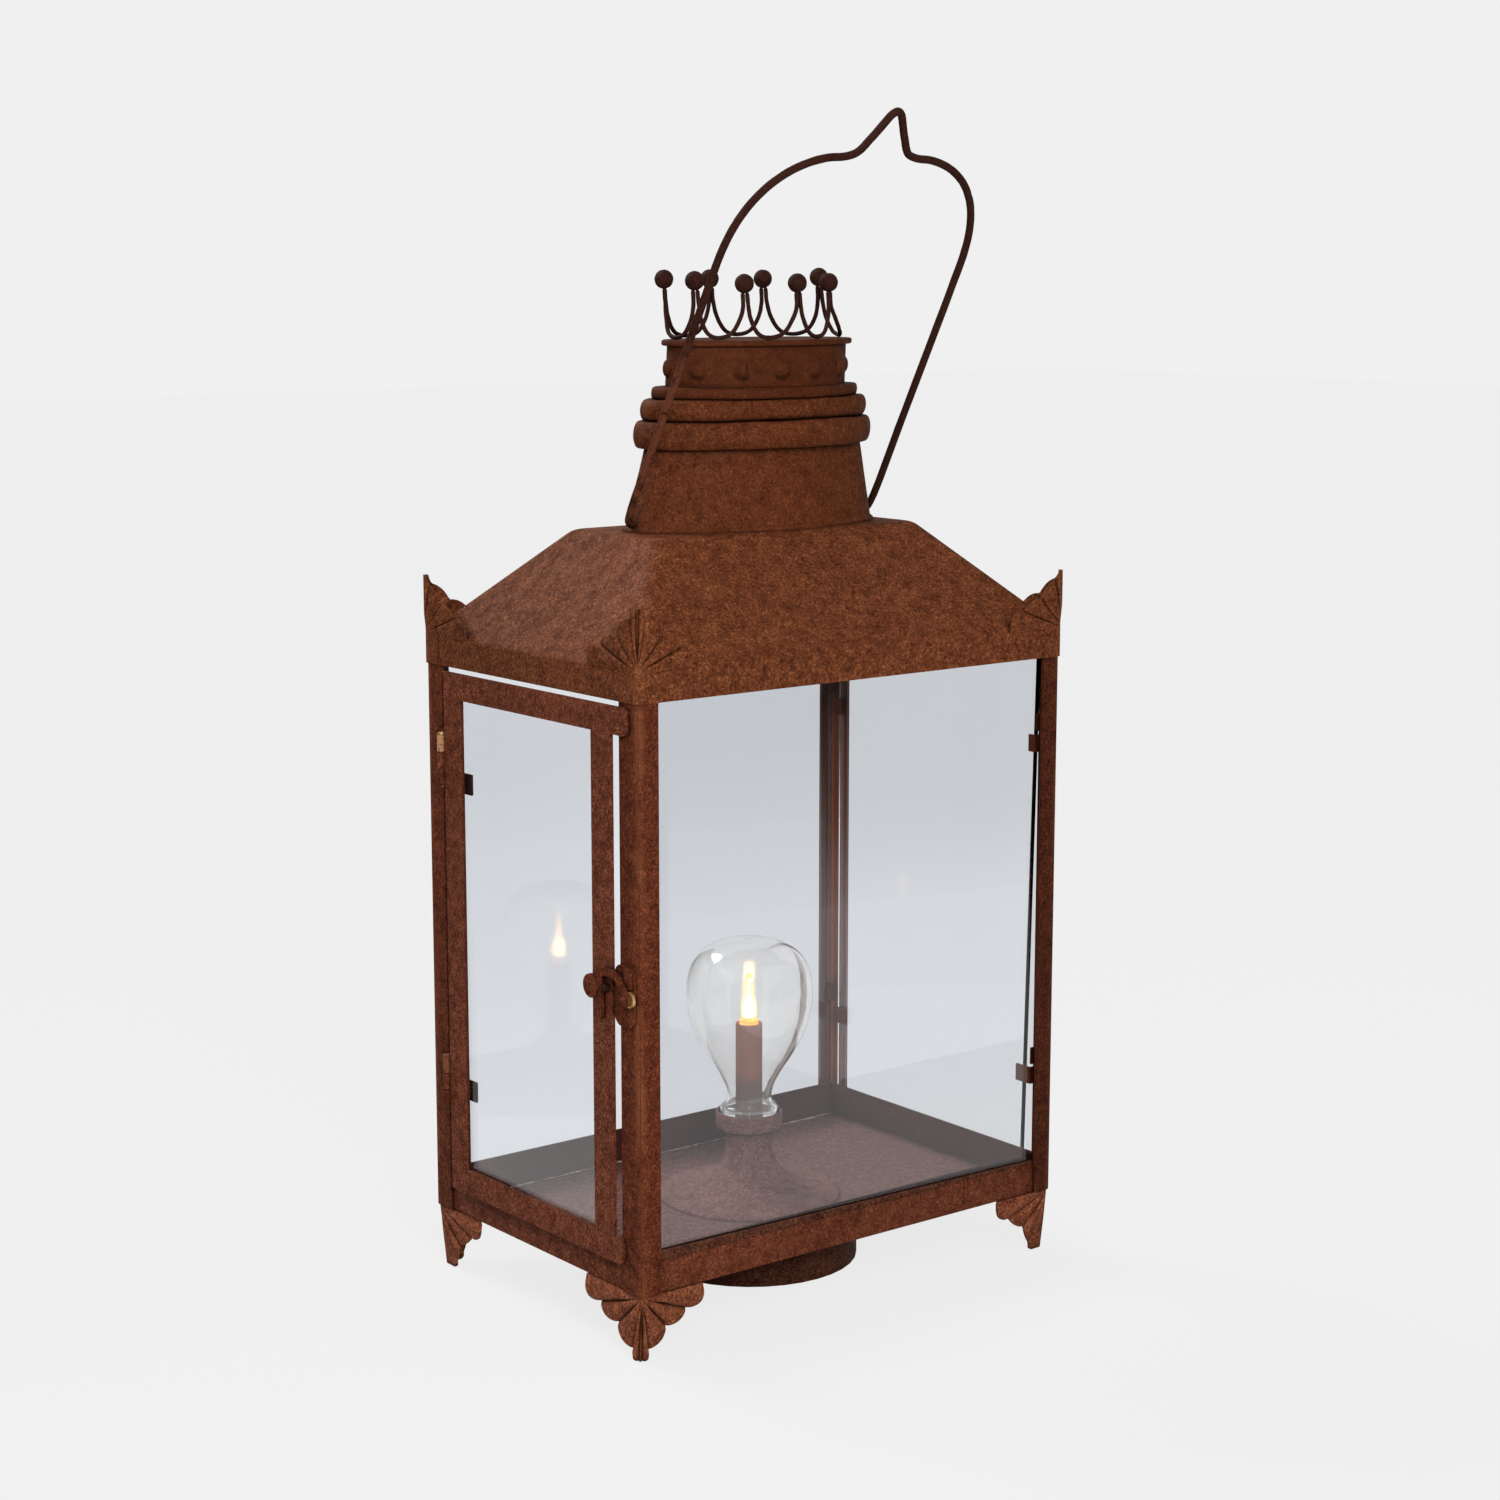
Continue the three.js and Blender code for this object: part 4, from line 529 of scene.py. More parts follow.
def add_object(name, data):
    piece = bpy.data.objects.new(name, data)
    bpy.context.scene.collection.objects.link(piece)
    return piece


def finish_piece(name, mesh, material, slot, body, *replaced):
    piece = add_object(name, mesh)
    mesh.materials.clear()
    mesh.materials.append(material)
    for polygon in mesh.polygons:
        polygon.material_index = 0
    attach(piece, body)
    if replaced:
        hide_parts(*replaced)
    return piece


def mesh_of(bm, name, sharp_degrees=EDGE_DEGREES):
    bmesh.ops.recalc_face_normals(bm, faces=bm.faces)
    mesh = bpy.data.meshes.new(name)
    bm.to_mesh(mesh)
    bm.free()
    mesh.polygons.foreach_set("use_smooth", [True] * len(mesh.polygons))
    mesh.set_sharp_from_angle(angle=math.radians(sharp_degrees))
    return mesh


def stand_in(node, bm, material, sharp_degrees, slot="rusted_sheet", body="lantern"):
    """Makes a piece that is shown in the place of one CAD node."""
    mesh = mesh_of(bm, node + "_form", sharp_degrees)
    return finish_piece(node + "_look", mesh, material, slot, body, node)


def merged(bm, distance=1e-6):
    bmesh.ops.remove_doubles(bm, verts=bm.verts, dist=distance)
    return bm


def hand_worked(bm, reach, size=18.0, seed=0.0):
    """Moves each point along its normal by up to reach mm, in dents about size mm across."""
    bm.normal_update()
    for vert in bm.verts:
        here = vert.co / (size * MM) + Vector((seed, 0, 0))
        vert.co += vert.normal * noise.noise(here) * reach * MM
    return bm


def add_bevel(piece, width, segments=2):
    modifier = piece.modifiers.new("edges", "BEVEL")
    modifier.width = width * MM
    modifier.segments = segments
    modifier.limit_method = "ANGLE"
    modifier.angle_limit = math.radians(EDGE_DEGREES)
    modifier.use_clamp_overlap = True
    modifier.miter_outer = "MITER_ARC"
    modifier.harden_normals = True
    return piece


def loft(rings, closed=False, caps=False):
    """Rings of points in mm, each joined to the next; closed joins the last to the first."""
    bm = bmesh.new()
    rows = [[bm.verts.new(Vector(p) * MM) for p in ring] for ring in rings]
    pairs = list(zip(rows, rows[1:])) + ([(rows[-1], rows[0])] if closed else [])
    for low, high in pairs:
        for i in range(len(low)):
            j = (i + 1) % len(low)
            bm.faces.new((low[i], low[j], high[j], high[i]))
    if caps:
        bm.faces.new(rows[0])
        bm.faces.new(rows[-1])
    return bm


def lathe(outline, segments=96, x=0.0):
    """A turned form from (radius, height) pairs in mm; a radius of 0 closes it on its axis."""
    bm = bmesh.new()
    angles = [2 * math.pi * i / segments for i in range(segments)]
    rows = []
    for r, z in outline:
        points = [(x + r * math.cos(t), r * math.sin(t), z) for t in angles]
        if r < 1e-6:
            points = [(x, 0, z)]
        rows.append([bm.verts.new(Vector(point) * MM) for point in points])
    for low, high in zip(rows, rows[1:]):
        for i in range(segments):
            j = (i + 1) % segments
            if len(low) == 1 and len(high) == 1:
                continue
            if len(low) == 1:
                bm.faces.new((low[0], high[j], high[i]))
            elif len(high) == 1:
                bm.faces.new((low[i], low[j], high[0]))
            else:
                bm.faces.new((low[i], low[j], high[j], high[i]))
    return bm


def ringed(outline):
    """The same outline, closed on itself for a ring-shaped section."""
    return [*outline, outline[0]]


def smooth_line(points, per_span=6):
    """A centripetal spline through points of any size, as in the CAD part."""

    def lerp(a, b, ta, tb, t):
        return a.lerp(b, (t - ta) / (tb - ta)) if abs(tb - ta) > 1e-9 else a.copy()

    points = [Vector(p) for p in points]
    padded = [2 * points[0] - points[1], *points, 2 * points[-1] - points[-2]]
    line = []
    for i in range(len(points) - 1):
        p0, p1, p2, p3 = padded[i : i + 4]
        t0 = 0.0
        t1 = t0 + math.sqrt((p1 - p0).length)
        t2 = t1 + math.sqrt((p2 - p1).length)
        t3 = t2 + math.sqrt((p3 - p2).length)
        for k in range(per_span):
            t = t1 + (t2 - t1) * k / per_span
            a1 = lerp(p0, p1, t0, t1, t)
            a2 = lerp(p1, p2, t1, t2, t)
            a3 = lerp(p2, p3, t2, t3, t)
            b1 = lerp(a1, a2, t0, t2, t)
            b2 = lerp(a2, a3, t1, t3, t)
            line.append(lerp(b1, b2, t1, t2, t))
    line.append(points[-1])
    return line


def tube(line, radius, sides, uneven):
    """A round wire along a line, with rounded ends and a hand-drawn unevenness."""
    rings = []
    up = None
    for i, here in enumerate(line):
        before = line[max(i - 1, 0)]
        after = line[min(i + 1, len(line) - 1)]
        tangent = (after - before).normalized()
        if up is None:
            up = tangent.orthogonal().normalized()
        up = (up - tangent * up.dot(tangent)).normalized()
        side = tangent.cross(up)
        end = 0.55 if i in (0, len(line) - 1) else 1.0
        ring = []
        for k in range(sides):
            t = 2 * math.pi * k / sides
            out = math.cos(t) * up + math.sin(t) * side
            reach = radius * end * (1 - uneven * abs(noise.noise(here * 0.35 + 0.8 * out)))
            ring.append(here + reach * out)
        rings.append(ring)
    return loft(rings, caps=True)


def dress(node, material, width, slot="rusted_sheet", body="lantern", segments=2):
    """The CAD node's form with its flat faces cleaned up and its edges softened by width mm."""
    bm = bmesh.new()
    bm.from_mesh(nodes[node].data)
    merged(bm)
    flat = math.radians(FLAT_DEGREES)
    bmesh.ops.dissolve_limit(bm, angle_limit=flat, verts=bm.verts, edges=bm.edges)
    return add_bevel(stand_in(node, bm, material, EDGE_DEGREES, slot, body), width, segments)


def oval(half, z, count=96, inset=0.0):
    rx, ry = half[0] - inset, half[1] - inset
    x0 = CHIMNEY_X + CHIMNEY_LEAN * (z - ROOF_TOP_Z)
    angles = [2 * math.pi * i / count for i in range(count)]
    return [(x0 + rx * math.cos(t), ry * math.sin(t), z) for t in angles]


def rounded_ring(half_x, half_y, radius, z, steps=6, along=20):
    """A rectangle with round corners, anticlockwise from above, and points along its straight sides."""
    corners = []
    for sx, sy, start in ((1, 1, 0), (-1, 1, 90), (-1, -1, 180), (1, -1, 270)):
        centre = Vector((sx * (half_x - radius), sy * (half_y - radius), z))
        turns = [math.radians(start + 90 * i / steps) for i in range(steps + 1)]
        corners.append([centre + radius * Vector((math.cos(t), math.sin(t), 0)) for t in turns])
    points = []
    for corner, following in zip(corners, [*corners[1:], corners[0]]):
        points += corner
        points += [corner[-1].lerp(following[0], i / along) for i in range(1, along)]
    return points


# Sheet-metal body

SEAM_BENDS = [(-84.0, 55.6), (85.4, 55.6), (85.4, -55.6)]
SEAM_RISE = 0.15
SEAM_STEP = 1.2
SEAM_WOBBLE = 0.35
LIP_HALF = 82.2
LIP_RISE = 3.4  # above the band at the door's end
LIP_FALL = 2.4  # from there to the other end


def posts_and_tray():
    dress("post_front_left", sheet, 0.2)
    dress("post_front_right", shaded_sheet, 0.2)
    dress("post_back_right", far_sheet_painted_shade_and_light, 0.2)
    dress("post_back_left", hinged_sheet, 0.2)
    dress("tray", tray_sheet, 0.2)


def floor_seams():
    """A rough weld bead where the tray's floor meets its inner rails."""
    for n, ends in enumerate(zip(SEAM_BENDS, SEAM_BENDS[1:])):
        a, b = (Vector((*end, FLOOR_Z + SEAM_RISE)) for end in ends)
        steps = int((b - a).length / SEAM_STEP)
        line = []
        for i in range(steps + 1):
            here = a.lerp(b, i / steps)
            wobble = noise.noise_vector(here * 0.5)
            line.append(here + Vector((SEAM_WOBBLE * wobble.x, SEAM_WOBBLE * wobble.y, 0.0)))
        mesh = mesh_of(tube(line, 0.45, 8, 1.1), "seam_form", 60)
        finish_piece(f"floor_seam_{n + 1}", mesh, seam_metal, "rusted_sheet", "lantern")


def tray_lip():
    """A narrow strip of sheet that stands above the front band, wider towards the door."""
    y_out, y_in = 1.25 - HALF_DEPTH, 2.0 - HALF_DEPTH
    foot = BAND_TOP - 1
    steps = 24
    rows = []
    for i in range(steps + 1):
        x = LIP_HALF * (2 * i / steps - 1)
        top = BAND_TOP + LIP_RISE - LIP_FALL * i / steps
        rows.append([(x, y_in, foot), (x, y_in, top), (x, y_out, top), (x, y_out, foot)])
    mesh = mesh_of(loft(rows, caps=True), "lip_form")
    finish_piece("tray_lip", mesh, drum_sheet, "rusted_sheet", "lantern")


posts_and_tray()
floor_seams()
tray_lip()


# Roof: an eave band, a soft fold and four slopes that bend into a flat top

ROOF_SHEET = 1.0
ROOF_BEND = 5.0
HIP_ROUND = 4.0
FOLD_HALF = 1.1


def roof():
    half_x, half_y = HALF_WIDTH + EAVE_PROUD, HALF_DEPTH + EAVE_PROUD
    run_x, run_y = half_x - ROOF_TOP_HALF[0], half_y - ROOF_TOP_HALF[1]
    rise = ROOF_TOP_Z - ROOF_FOLD_Z
    slope = math.atan2(rise, (run_x + run_y) / 2)
    back = ROOF_BEND * math.tan(slope / 2)

    def ring(share, out, z, inset, corner_radius):
        x = half_x - run_x * share + out - inset
        y = half_y - run_y * share + out - inset
        return rounded_ring(x, y, max(corner_radius - inset, 0.4), z)

    def face(offset):
        """The outer face where offset is 0, and the inner one where it is the sheet's thickness."""
        fold = ROOF_FOLD_Z - offset * math.tan(slope / 2)
        rings = [ring(0, 0, z, offset, EAVE_ROUND) for z in (EAVE_Z, EAVE_Z + 3, fold - 2.5)]
        for share in (-1.0, -0.5, 0.0):
            rings.append(ring(0, -0.03 * (1 + share), fold + FOLD_HALF * share, offset, EAVE_ROUND))
        for k in range(9):
            share = 0.03 + 0.88 * k / 8
            corner = EAVE_ROUND + (HIP_ROUND - EAVE_ROUND) * share
            rings.append(ring(share, 0, fold + rise * share, offset, corner))
        for i in range(7):
            normal = math.pi / 2 - slope + slope * i / 6
            out = -back + (ROOF_BEND - offset) * math.cos(normal)
            z = ROOF_TOP_Z - ROOF_BEND + (ROOF_BEND - offset) * math.sin(normal)
            rings.append(ring(1, out, z, 0, HIP_ROUND))
        return rings

    bm = loft([*reversed(face(ROOF_SHEET)), *face(0.0)], caps=True)
    stand_in("roof", bm, roof_sheet, 50)


roof()


# Scalloped stampings: feet below and ornaments on the eave

LOBE_ENDS = [(1, 0), (0.74, 0.34), (0.42, 0.54), (0.135, 0.84)]  # shares of the wing's length and height
LOBE_BULGES = [0.33, 0.14, 0.13]
FOLD_RADIUS = 2.0
SKIRT_WIDTH = 9.0
SKIRT_HEIGHT = 9.8
SKIRT_OUT = 0.02
RIB_SHARE = 0.84  # beyond this share of the last lobe the sheet rises into the rib on the fold
BROAD_TIP = 3  # where the tip is broader than this in mm, the last lobe is pressed less deep
SHALLOW = 0.25

# Where flutes and the painted shade in their grooves begin along a lobe, and how far they take to their full
# depth, as shares of its length
FLUTE_START, FLUTE_RUN = 0.06, 0.4
SHADE_START, SHADE_RUN = 0.2, 0.5

CORNERS = {"front_left": (-1, -1), "back_left": (-1, 1), "front_right": (1, -1), "back_right": (1, 1)}
FOOT_TIPS = {"front_left": 3.0, "back_left": 7.6, "front_right": 6.5, "back_right": 4.0}
SPREADS = (26.5, 24.5)  # of the wings on the end face and on the side
FOOT_LEAN = (0.07, 0.07)
BENT_FOOT = "front_left"
BENT_SPREADS = (30.5, 24.5)
BENT_LEAN = (0.01, 0.07)


def quadratic(a, b, c, t):
    return (1 - t) ** 2 * a + 2 * t * (1 - t) * b + t * t * c


def scallop(spread, height, tip, samples=12):
    """A wing's outline from the far end of its base to the tip, as (along, away) in mm, and its lobe ends."""
    ends = [(spread * a, height * b) for a, b in LOBE_ENDS]
    ends[-1] = (max(ends[-1][0], tip + 0.4), ends[-1][1])
    turn = min(tip / 2, 1.9)
    outline = []
    marks = [0]
    for bulge, (x0, y0), (x1, y1) in zip(LOBE_BULGES, ends, ends[1:]):
        cx = (x0 + x1) / 2 + 2 * bulge * (y1 - y0)
        cy = (y0 + y1) / 2 + 2 * bulge * (x0 - x1)
        for i in range(samples):
            t = i / samples
            outline.append((quadratic(x0, cx, x1, t), quadratic(y0, cy, y1, t)))
        marks.append(len(outline))
    x, y = ends[-1]
    for i in range(6):
        outline.append((x + (tip - x) * i / 6, y + (height - turn - y) * i / 6))
    for i in range(6):
        t = i / 6
        outline.append((quadratic(tip, tip, tip - turn, t), quadratic(height - turn, height, height, t)))
    outline += [((tip - turn) * (1 - i / 4), height) for i in range(5)]
    return outline, [*marks, len(outline) - 1]


def climb(value, start, run):
    return min(1.0, max(0.0, (value - start) / run))


def flute_profile(t, last):
    """How far a lobe stands out at t of its width: 0 in the grooves, 1 on the crown and on the fold's rib."""
    if last and t > RIB_SHARE:
        return (t - RIB_SHARE) / (1 - RIB_SHARE)
    t = t / RIB_SHARE if last else t
    return math.sqrt(max(0.0, 1 - (2 * t - 1) ** 2))


def spokes_of(spread, height, tip, relief, painted_shade, rows=14):
    """Lines from the foot of the fold to the outline as (along, away, out, groove)."""
    outline, marks = scallop(spread, height, tip)
    last = len(marks) - 2
    spokes = []
    for i, (a, b) in enumerate(outline):
        k = max(n for n in range(last + 1) if marks[n] <= i)
        flute = flute_profile((i - marks[k]) / (marks[k + 1] - marks[k]), k == last)
        if i == 0:
            flute = 0.5
        depth = SHALLOW * relief if tip > BROAD_TIP and i >= marks[last] else relief
        spoke = []
        for j in range(rows + 1):
            s = j / rows
            fade = climb(s, FLUTE_START, FLUTE_RUN)
            fade = fade * fade * (3 - 2 * fade)
            # painted shade in the grooves between flutes
            groove_shade = painted_shade * climb(s, SHADE_START, SHADE_RUN) * max(0.0, 1 - 2.0 * flute) * (1 - 0.4 * s)
            spoke.append((a * s, b * s, depth * fade * (flute - 0.5), groove_shade))
        spokes.append(spoke)
    return spokes


def closed_sheet(bm, layer, grid, place, thickness):
    """A sheet over a grid of (wing, along, away, out, groove), with walls round it."""
    sheets = []
    for depth in (0.0, -thickness):
        rows = []
        for line in grid:
            row = []
            for wing, along, away, out, groove_shade in line:
                vert = bm.verts.new(Vector(place(wing, along, away, out + depth)) * MM)
                vert[layer] = groove_shade
                row.append(vert)
            rows.append(row)
        for low, high in zip(rows, rows[1:]):
            for j in range(len(low) - 1):
                bm.faces.new((low[j], low[j + 1], high[j + 1], high[j]))
        sheets.append(rows)
    front, back = sheets
    edges = [(front[0], back[0]), (front[-1], back[-1])]
    edges += [([row[k] for row in front], [row[k] for row in back]) for k in (0, -1)]
    for line, other in edges:
        for i in range(len(line) - 1):
            bm.faces.new((line[i], line[i + 1], other[i + 1], other[i]))


def corner_place(corner, inset, place_z, lean=(0, 0)):
    """Places points on a sheet that is folded round one corner of the box.

    Wing 1 is on the end face, and wing -1 on the side.
    """
    centre = inset + FOLD_RADIUS
    arc = FOLD_RADIUS * math.pi / 4

    def place(wing, along, away, out):
        run = along - FOLD_RADIUS + arc if along > FOLD_RADIUS else along * arc / FOLD_RADIUS
        if run < arc:
            t = math.pi / 4 - run / FOLD_RADIUS
            across = centre - (FOLD_RADIUS + out) * math.cos(t)
            down = centre - (FOLD_RADIUS + out) * math.sin(t)
        else:
            across = inset - out
            down = centre + run - arc
        x, y = (across, down) if wing > 0 else (down, across)
        x += lean[0] * max(away, 0)
        y += lean[1] * max(away, 0)
        return corner[0] * (HALF_WIDTH - x), corner[1] * (HALF_DEPTH - y), place_z(away)

    return place


def stamping(node, place, spreads, height, tip, relief, painted_shade, thickness, skirt=False):
    """A fan of flutes over both wings, with a strip round the eave band where there is a skirt."""
    bm = bmesh.new()
    layer = bm.verts.layers.float.new(PAINTED_SHADE_ATTRIBUTE)
    end_wing, side_wing = (
        [[(wing, *point) for point in spoke] for spoke in spokes_of(spread, height, tip, relief, painted_shade)]
        for wing, spread in zip((1, -1), spreads)
    )
    closed_sheet(bm, layer, end_wing + side_wing[::-1][1:], place, thickness)
    merged(bm, 1e-7)
    if skirt:
        columns = [(1, SKIRT_WIDTH), (1, 5), (1, 2), (1, 1.3), (1, 0.6), (1, 0)]
        columns += [(-1, along) for _, along in columns[::-1][1:]]
        heights = (-SKIRT_HEIGHT, -4, 0.8)
        grid = [[(wing, along, away, SKIRT_OUT, 0.0) for away in heights] for wing, along in columns]
        closed_sheet(bm, layer, grid, place, thickness)
    stand_in(node, bm, roof_sheet if skirt else foot_sheet, 50)


def stampings():
    # The painted shade in the flutes' grooves is darker on the feet than on the ornaments.
    foot = {"height": TRAY_Z, "relief": 1.5, "painted_shade": 0.55, "thickness": 1.0}
    ornament = {"height": 20.0, "tip": 2.6, "relief": 1.1, "painted_shade": 0.45, "thickness": 0.6, "skirt": True}
    for name, corner in CORNERS.items():
        bent = name == BENT_FOOT
        below = corner_place(corner, 0.45, lambda away: TRAY_Z - away, BENT_LEAN if bent else FOOT_LEAN)
        above = corner_place(corner, -0.45, lambda away: ROOF_FOLD_Z + away)
        stamping("foot_" + name, below, BENT_SPREADS if bent else SPREADS, tip=FOOT_TIPS[name], **foot)
        stamping("eave_ornament_" + name, above, SPREADS, **ornament)


stampings()


# Chimney: neck, two rolled rings, collar with bosses, crown plate

NECK_BASE = (50, 23)
NECK_TOP = (43.5, 20.9)
NECK_HEIGHT = 27
COLLAR_STEP = (40.9, 21.4)
COLLAR_WALL = (35.1, 20.1)
COLLAR_Z = ROOF_TOP_Z + 43
PLATE_HALF = (37, 22)


def neck():
    def half(z, out):
        return [base + (top - base) * z / NECK_HEIGHT + out for base, top in zip(NECK_BASE, NECK_TOP)]

    bead = [(0.0, 0.9), (0.5, 1.0), (1.0, 0.85), (1.35, 0.4), (1.6, 0.05)]
    wall = [(z, 0.0) for z in (2.2, 4, 8, 12, 16, 20, 24, 27)]
    rings = [oval(half(z, out), ROOF_TOP_Z + z) for z, out in bead + wall]
    rings += [oval(half(z, -1.2), ROOF_TOP_Z + z) for z in (27, 16, 8, 0)]
    stand_in("neck", hand_worked(loft(rings, closed=True), 0.28), chimney_sheet, 50)


def rolled_ring(name, half, height, z, seed):
    steps = 12
    crown = []
    for i in range(steps + 1):
        t = math.pi * (i / steps - 0.5)
        crown.append((1.9 * (1 - math.cos(t)), height * (0.5 + 0.5 * math.sin(t))))
    inside = [(6.0, height), (6.0, height - 1), (2.4, height - 1), (1.0, height / 2), (2.4, 1.0), (6.0, 1.0)]
    profile = [(6.0, 0.0), *crown, *inside]
    bm = loft([oval(half, z + h, inset=inset) for inset, h in profile], closed=True)
    stand_in(name, hand_worked(bm, 0.4, 16.0, seed), chimney_sheet, 40)


def raise_bosses(bm, half, z, count=12, phase=0.055, radius=2.9, proud=1.5):
    """Pushes low round domes out of the collar's wall, evenly along its length, with a painted shadow marked
    under each.
    """
    painted_shade = bm.verts.layers.float.new(PAINTED_SHADE_ATTRIBUTE)
    steps = 720
    turns = [2 * math.pi * i / steps for i in range(steps + 1)]
    points = [Vector((half[0] * math.cos(t), half[1] * math.sin(t))) for t in turns]
    lengths = [0.0]
    for a, b in zip(points, points[1:]):
        lengths.append(lengths[-1] + (b - a).length)
    centre_x = CHIMNEY_X + CHIMNEY_LEAN * (z - ROOF_TOP_Z)
    for n in range(count):
        wanted = lengths[-1] * ((n / count + phase) % 1)
        i = next(k for k, value in enumerate(lengths) if value >= wanted)
        out = Vector((points[i].x / half[0] ** 2, points[i].y / half[1] ** 2)).normalized()
        middle = Vector((centre_x + points[i].x, points[i].y, z))
        for vert in bm.verts:
            here = vert.co / MM
            away = (here - middle).length
            facing = Vector((here.x - centre_x, here.y)).length > points[i].length - 0.7
            # painted shadow: a dark crescent just under each boss
            if facing and 0.7 * radius < away < 1.6 * radius:
                under = max(0.0, (middle.z - here.z) / away)
                vert[painted_shade] = under * (1 - abs(away / radius - 1.15) / 0.45)
            if away < radius and facing:
                lift = proud * math.sqrt(1 - (away / radius) ** 2)
                vert.co += Vector((out.x, out.y, 0)) * lift * MM


def collar():
    low = [(0, 0.9), (0.35, 0.35), (1.1, 0.08), (2, 0), (2.9, 0.08), (3.65, 0.35), (4.0, 0.9)]
    outside = [(COLLAR_WALL, 0, 1.2), *[(COLLAR_STEP, h, inset) for h, inset in low]]
    outside += [(COLLAR_WALL, 4.0 + 13.5 * k / 30, 0) for k in range(31)]
    inside = [(COLLAR_WALL, 17.5, 1.2), (COLLAR_WALL, 2.8, 1.2), (COLLAR_STEP, 2.8, 1.9)]
    inside += [(COLLAR_STEP, 1.2, 1.9), (COLLAR_WALL, 1.2, 1.2)]
    rings = [oval(half, COLLAR_Z + h, 192, inset) for half, h, inset in outside + inside]
    bm = hand_worked(loft(rings, closed=True), 0.2, 14.0, 5.0)
    raise_bosses(bm, COLLAR_WALL, COLLAR_Z + 10.2)
    stand_in("collar", bm, collar_sheet, 40)


def crown_plate():
    z = ROOF_TOP_Z + 60.5
    profile = [(8, 0.0), (0.6, 0), (0.18, 0.18), (0, 0.6), (0, 1.3), (0.18, 1.72), (0.6, 1.9), (8, 1.9)]
    bm = loft([oval(PLATE_HALF, z + h, inset=inset) for inset, h in profile], caps=True)
    stand_in("crown_plate", bm, collar_sheet, 40)


neck()
rolled_ring("ring_large", (47.2, 25.3), 9, ROOF_TOP_Z + 27, 0.0)
rolled_ring("ring_middle", (45, 23), 7, ROOF_TOP_Z + 36, 9.0)
collar()
crown_plate()


# Crown: eight loops of wire with a ball where two of them meet

BALL_ANGLES = [11, 56, 93, 150, 204, 239, 275, 306]
BALL_HEIGHTS = [20.3, 19.7, 19.8, 19.8, 19.4, 18.5, 18.6, 18.7]
LOOP_ANGLES = [38, 76, 115, 180, 219, 252, 289, 345]
BALL_RADIUS = 3.2
CROWN_OVAL = (33.2, 20.8)
CROWN_Z = ROOF_TOP_Z + 62.4
CROWN_WIRE = 0.6
LOOP_BOTTOM = 5.4
LOOP_BOW = [(0.78, 1.1), (0.46, 0.24)]  # shares of the way round to a ball, and of LOOP_BOTTOM's height
LEG_PITCH = 0.75
LEG_SPLAY = 0.2
LEG_RUN = 5


def crown_point(degrees, along, up):
    t = math.radians(degrees)
    tangent = Vector((-CROWN_OVAL[0] * math.sin(t), CROWN_OVAL[1] * math.cos(t))).normalized()
    middle = CHIMNEY_X + 1.9 - 1.6 * up / BALL_HEIGHTS[0]
    x = middle + CROWN_OVAL[0] * math.cos(t) + along * tangent.x
    y = CROWN_OVAL[1] * math.sin(t) + along * tangent.y
    return Vector((x, y, CROWN_Z + up))


def leg_top(ball):
    return BALL_HEIGHTS[ball] - math.sqrt(BALL_RADIUS**2 - (LEG_PITCH + CROWN_WIRE) ** 2)


def crown_leg(ball, side):
    """Two points of a wire, where it leaves its ball and a little below."""
    angle, top = BALL_ANGLES[ball], leg_top(ball)
    below = crown_point(angle, side * (LEG_PITCH + LEG_SPLAY), top - LEG_RUN)
    return [crown_point(angle, side * LEG_PITCH, top), below]


def crown_loop(n):
    other = (n + 1) % len(BALL_ANGLES)
    here, there = BALL_ANGLES[n], BALL_ANGLES[other]
    seat = CROWN_WIRE + 0.3
    middle = LOOP_ANGLES[n]
    bow = [(here, *step) for step in LOOP_BOW]
    bow += [(here, 0, 0), *[(there, *step) for step in reversed(LOOP_BOW)]]
    low = []
    for ball, share, rise in bow:
        turn = (ball - middle + 180) % 360 - 180
        low.append(crown_point(middle + share * turn, 0, seat + rise * LOOP_BOTTOM))
    line = [*crown_leg(n, 1), *low, *reversed(crown_leg(other, -1))]
    bm = tube(smooth_line(line, 8), CROWN_WIRE + 0.15, 12, 0.2)
    stand_in(f"crown_loop_{n + 1}", bm, wire, 60, "rusted_wire")


def crown_ball(n):
    bm = bmesh.new()
    bmesh.ops.create_uvsphere(bm, u_segments=36, v_segments=24, radius=1.0)
    centre = crown_point(BALL_ANGLES[n], 0, BALL_HEIGHTS[n])
    for vert in bm.verts:
        lump = 1 - 0.05 * abs(noise.noise(vert.co * 1.6 + Vector((7 * n, 0, 0))))
        vert.co = (centre + vert.co * BALL_RADIUS * lump) * MM
    stand_in(f"crown_ball_{n + 1}", bm, wire, 60, "rusted_wire")


for number in range(len(BALL_ANGLES)):
    crown_loop(number)
    crown_ball(number)


# Bail: one bent wire, leant on its pivots

BAIL_HALF = [(45.5, 0), (49.4, 0), (51.22, 0.78), (52, 2.6), (51.8, 40), (51.3, 88), (50.8, 102), (49, 111)]
BAIL_HALF += [(45, 119.6), (38.4, 127), (30.2, 132), (21.8, 134.5), (14.4, 135.2)]
BAIL_HALF += [(10.4, 136.8), (7.2, 141.2), (4.2, 146.2), (1.8, 150)]
BAIL_PEAK = 151
BAIL_LEAN = 29.4
BAIL_WIRE = 1.3
BAIL_PIVOT = Vector((CHIMNEY_X + 0.13, 0, ROOF_TOP_Z + 2.6))


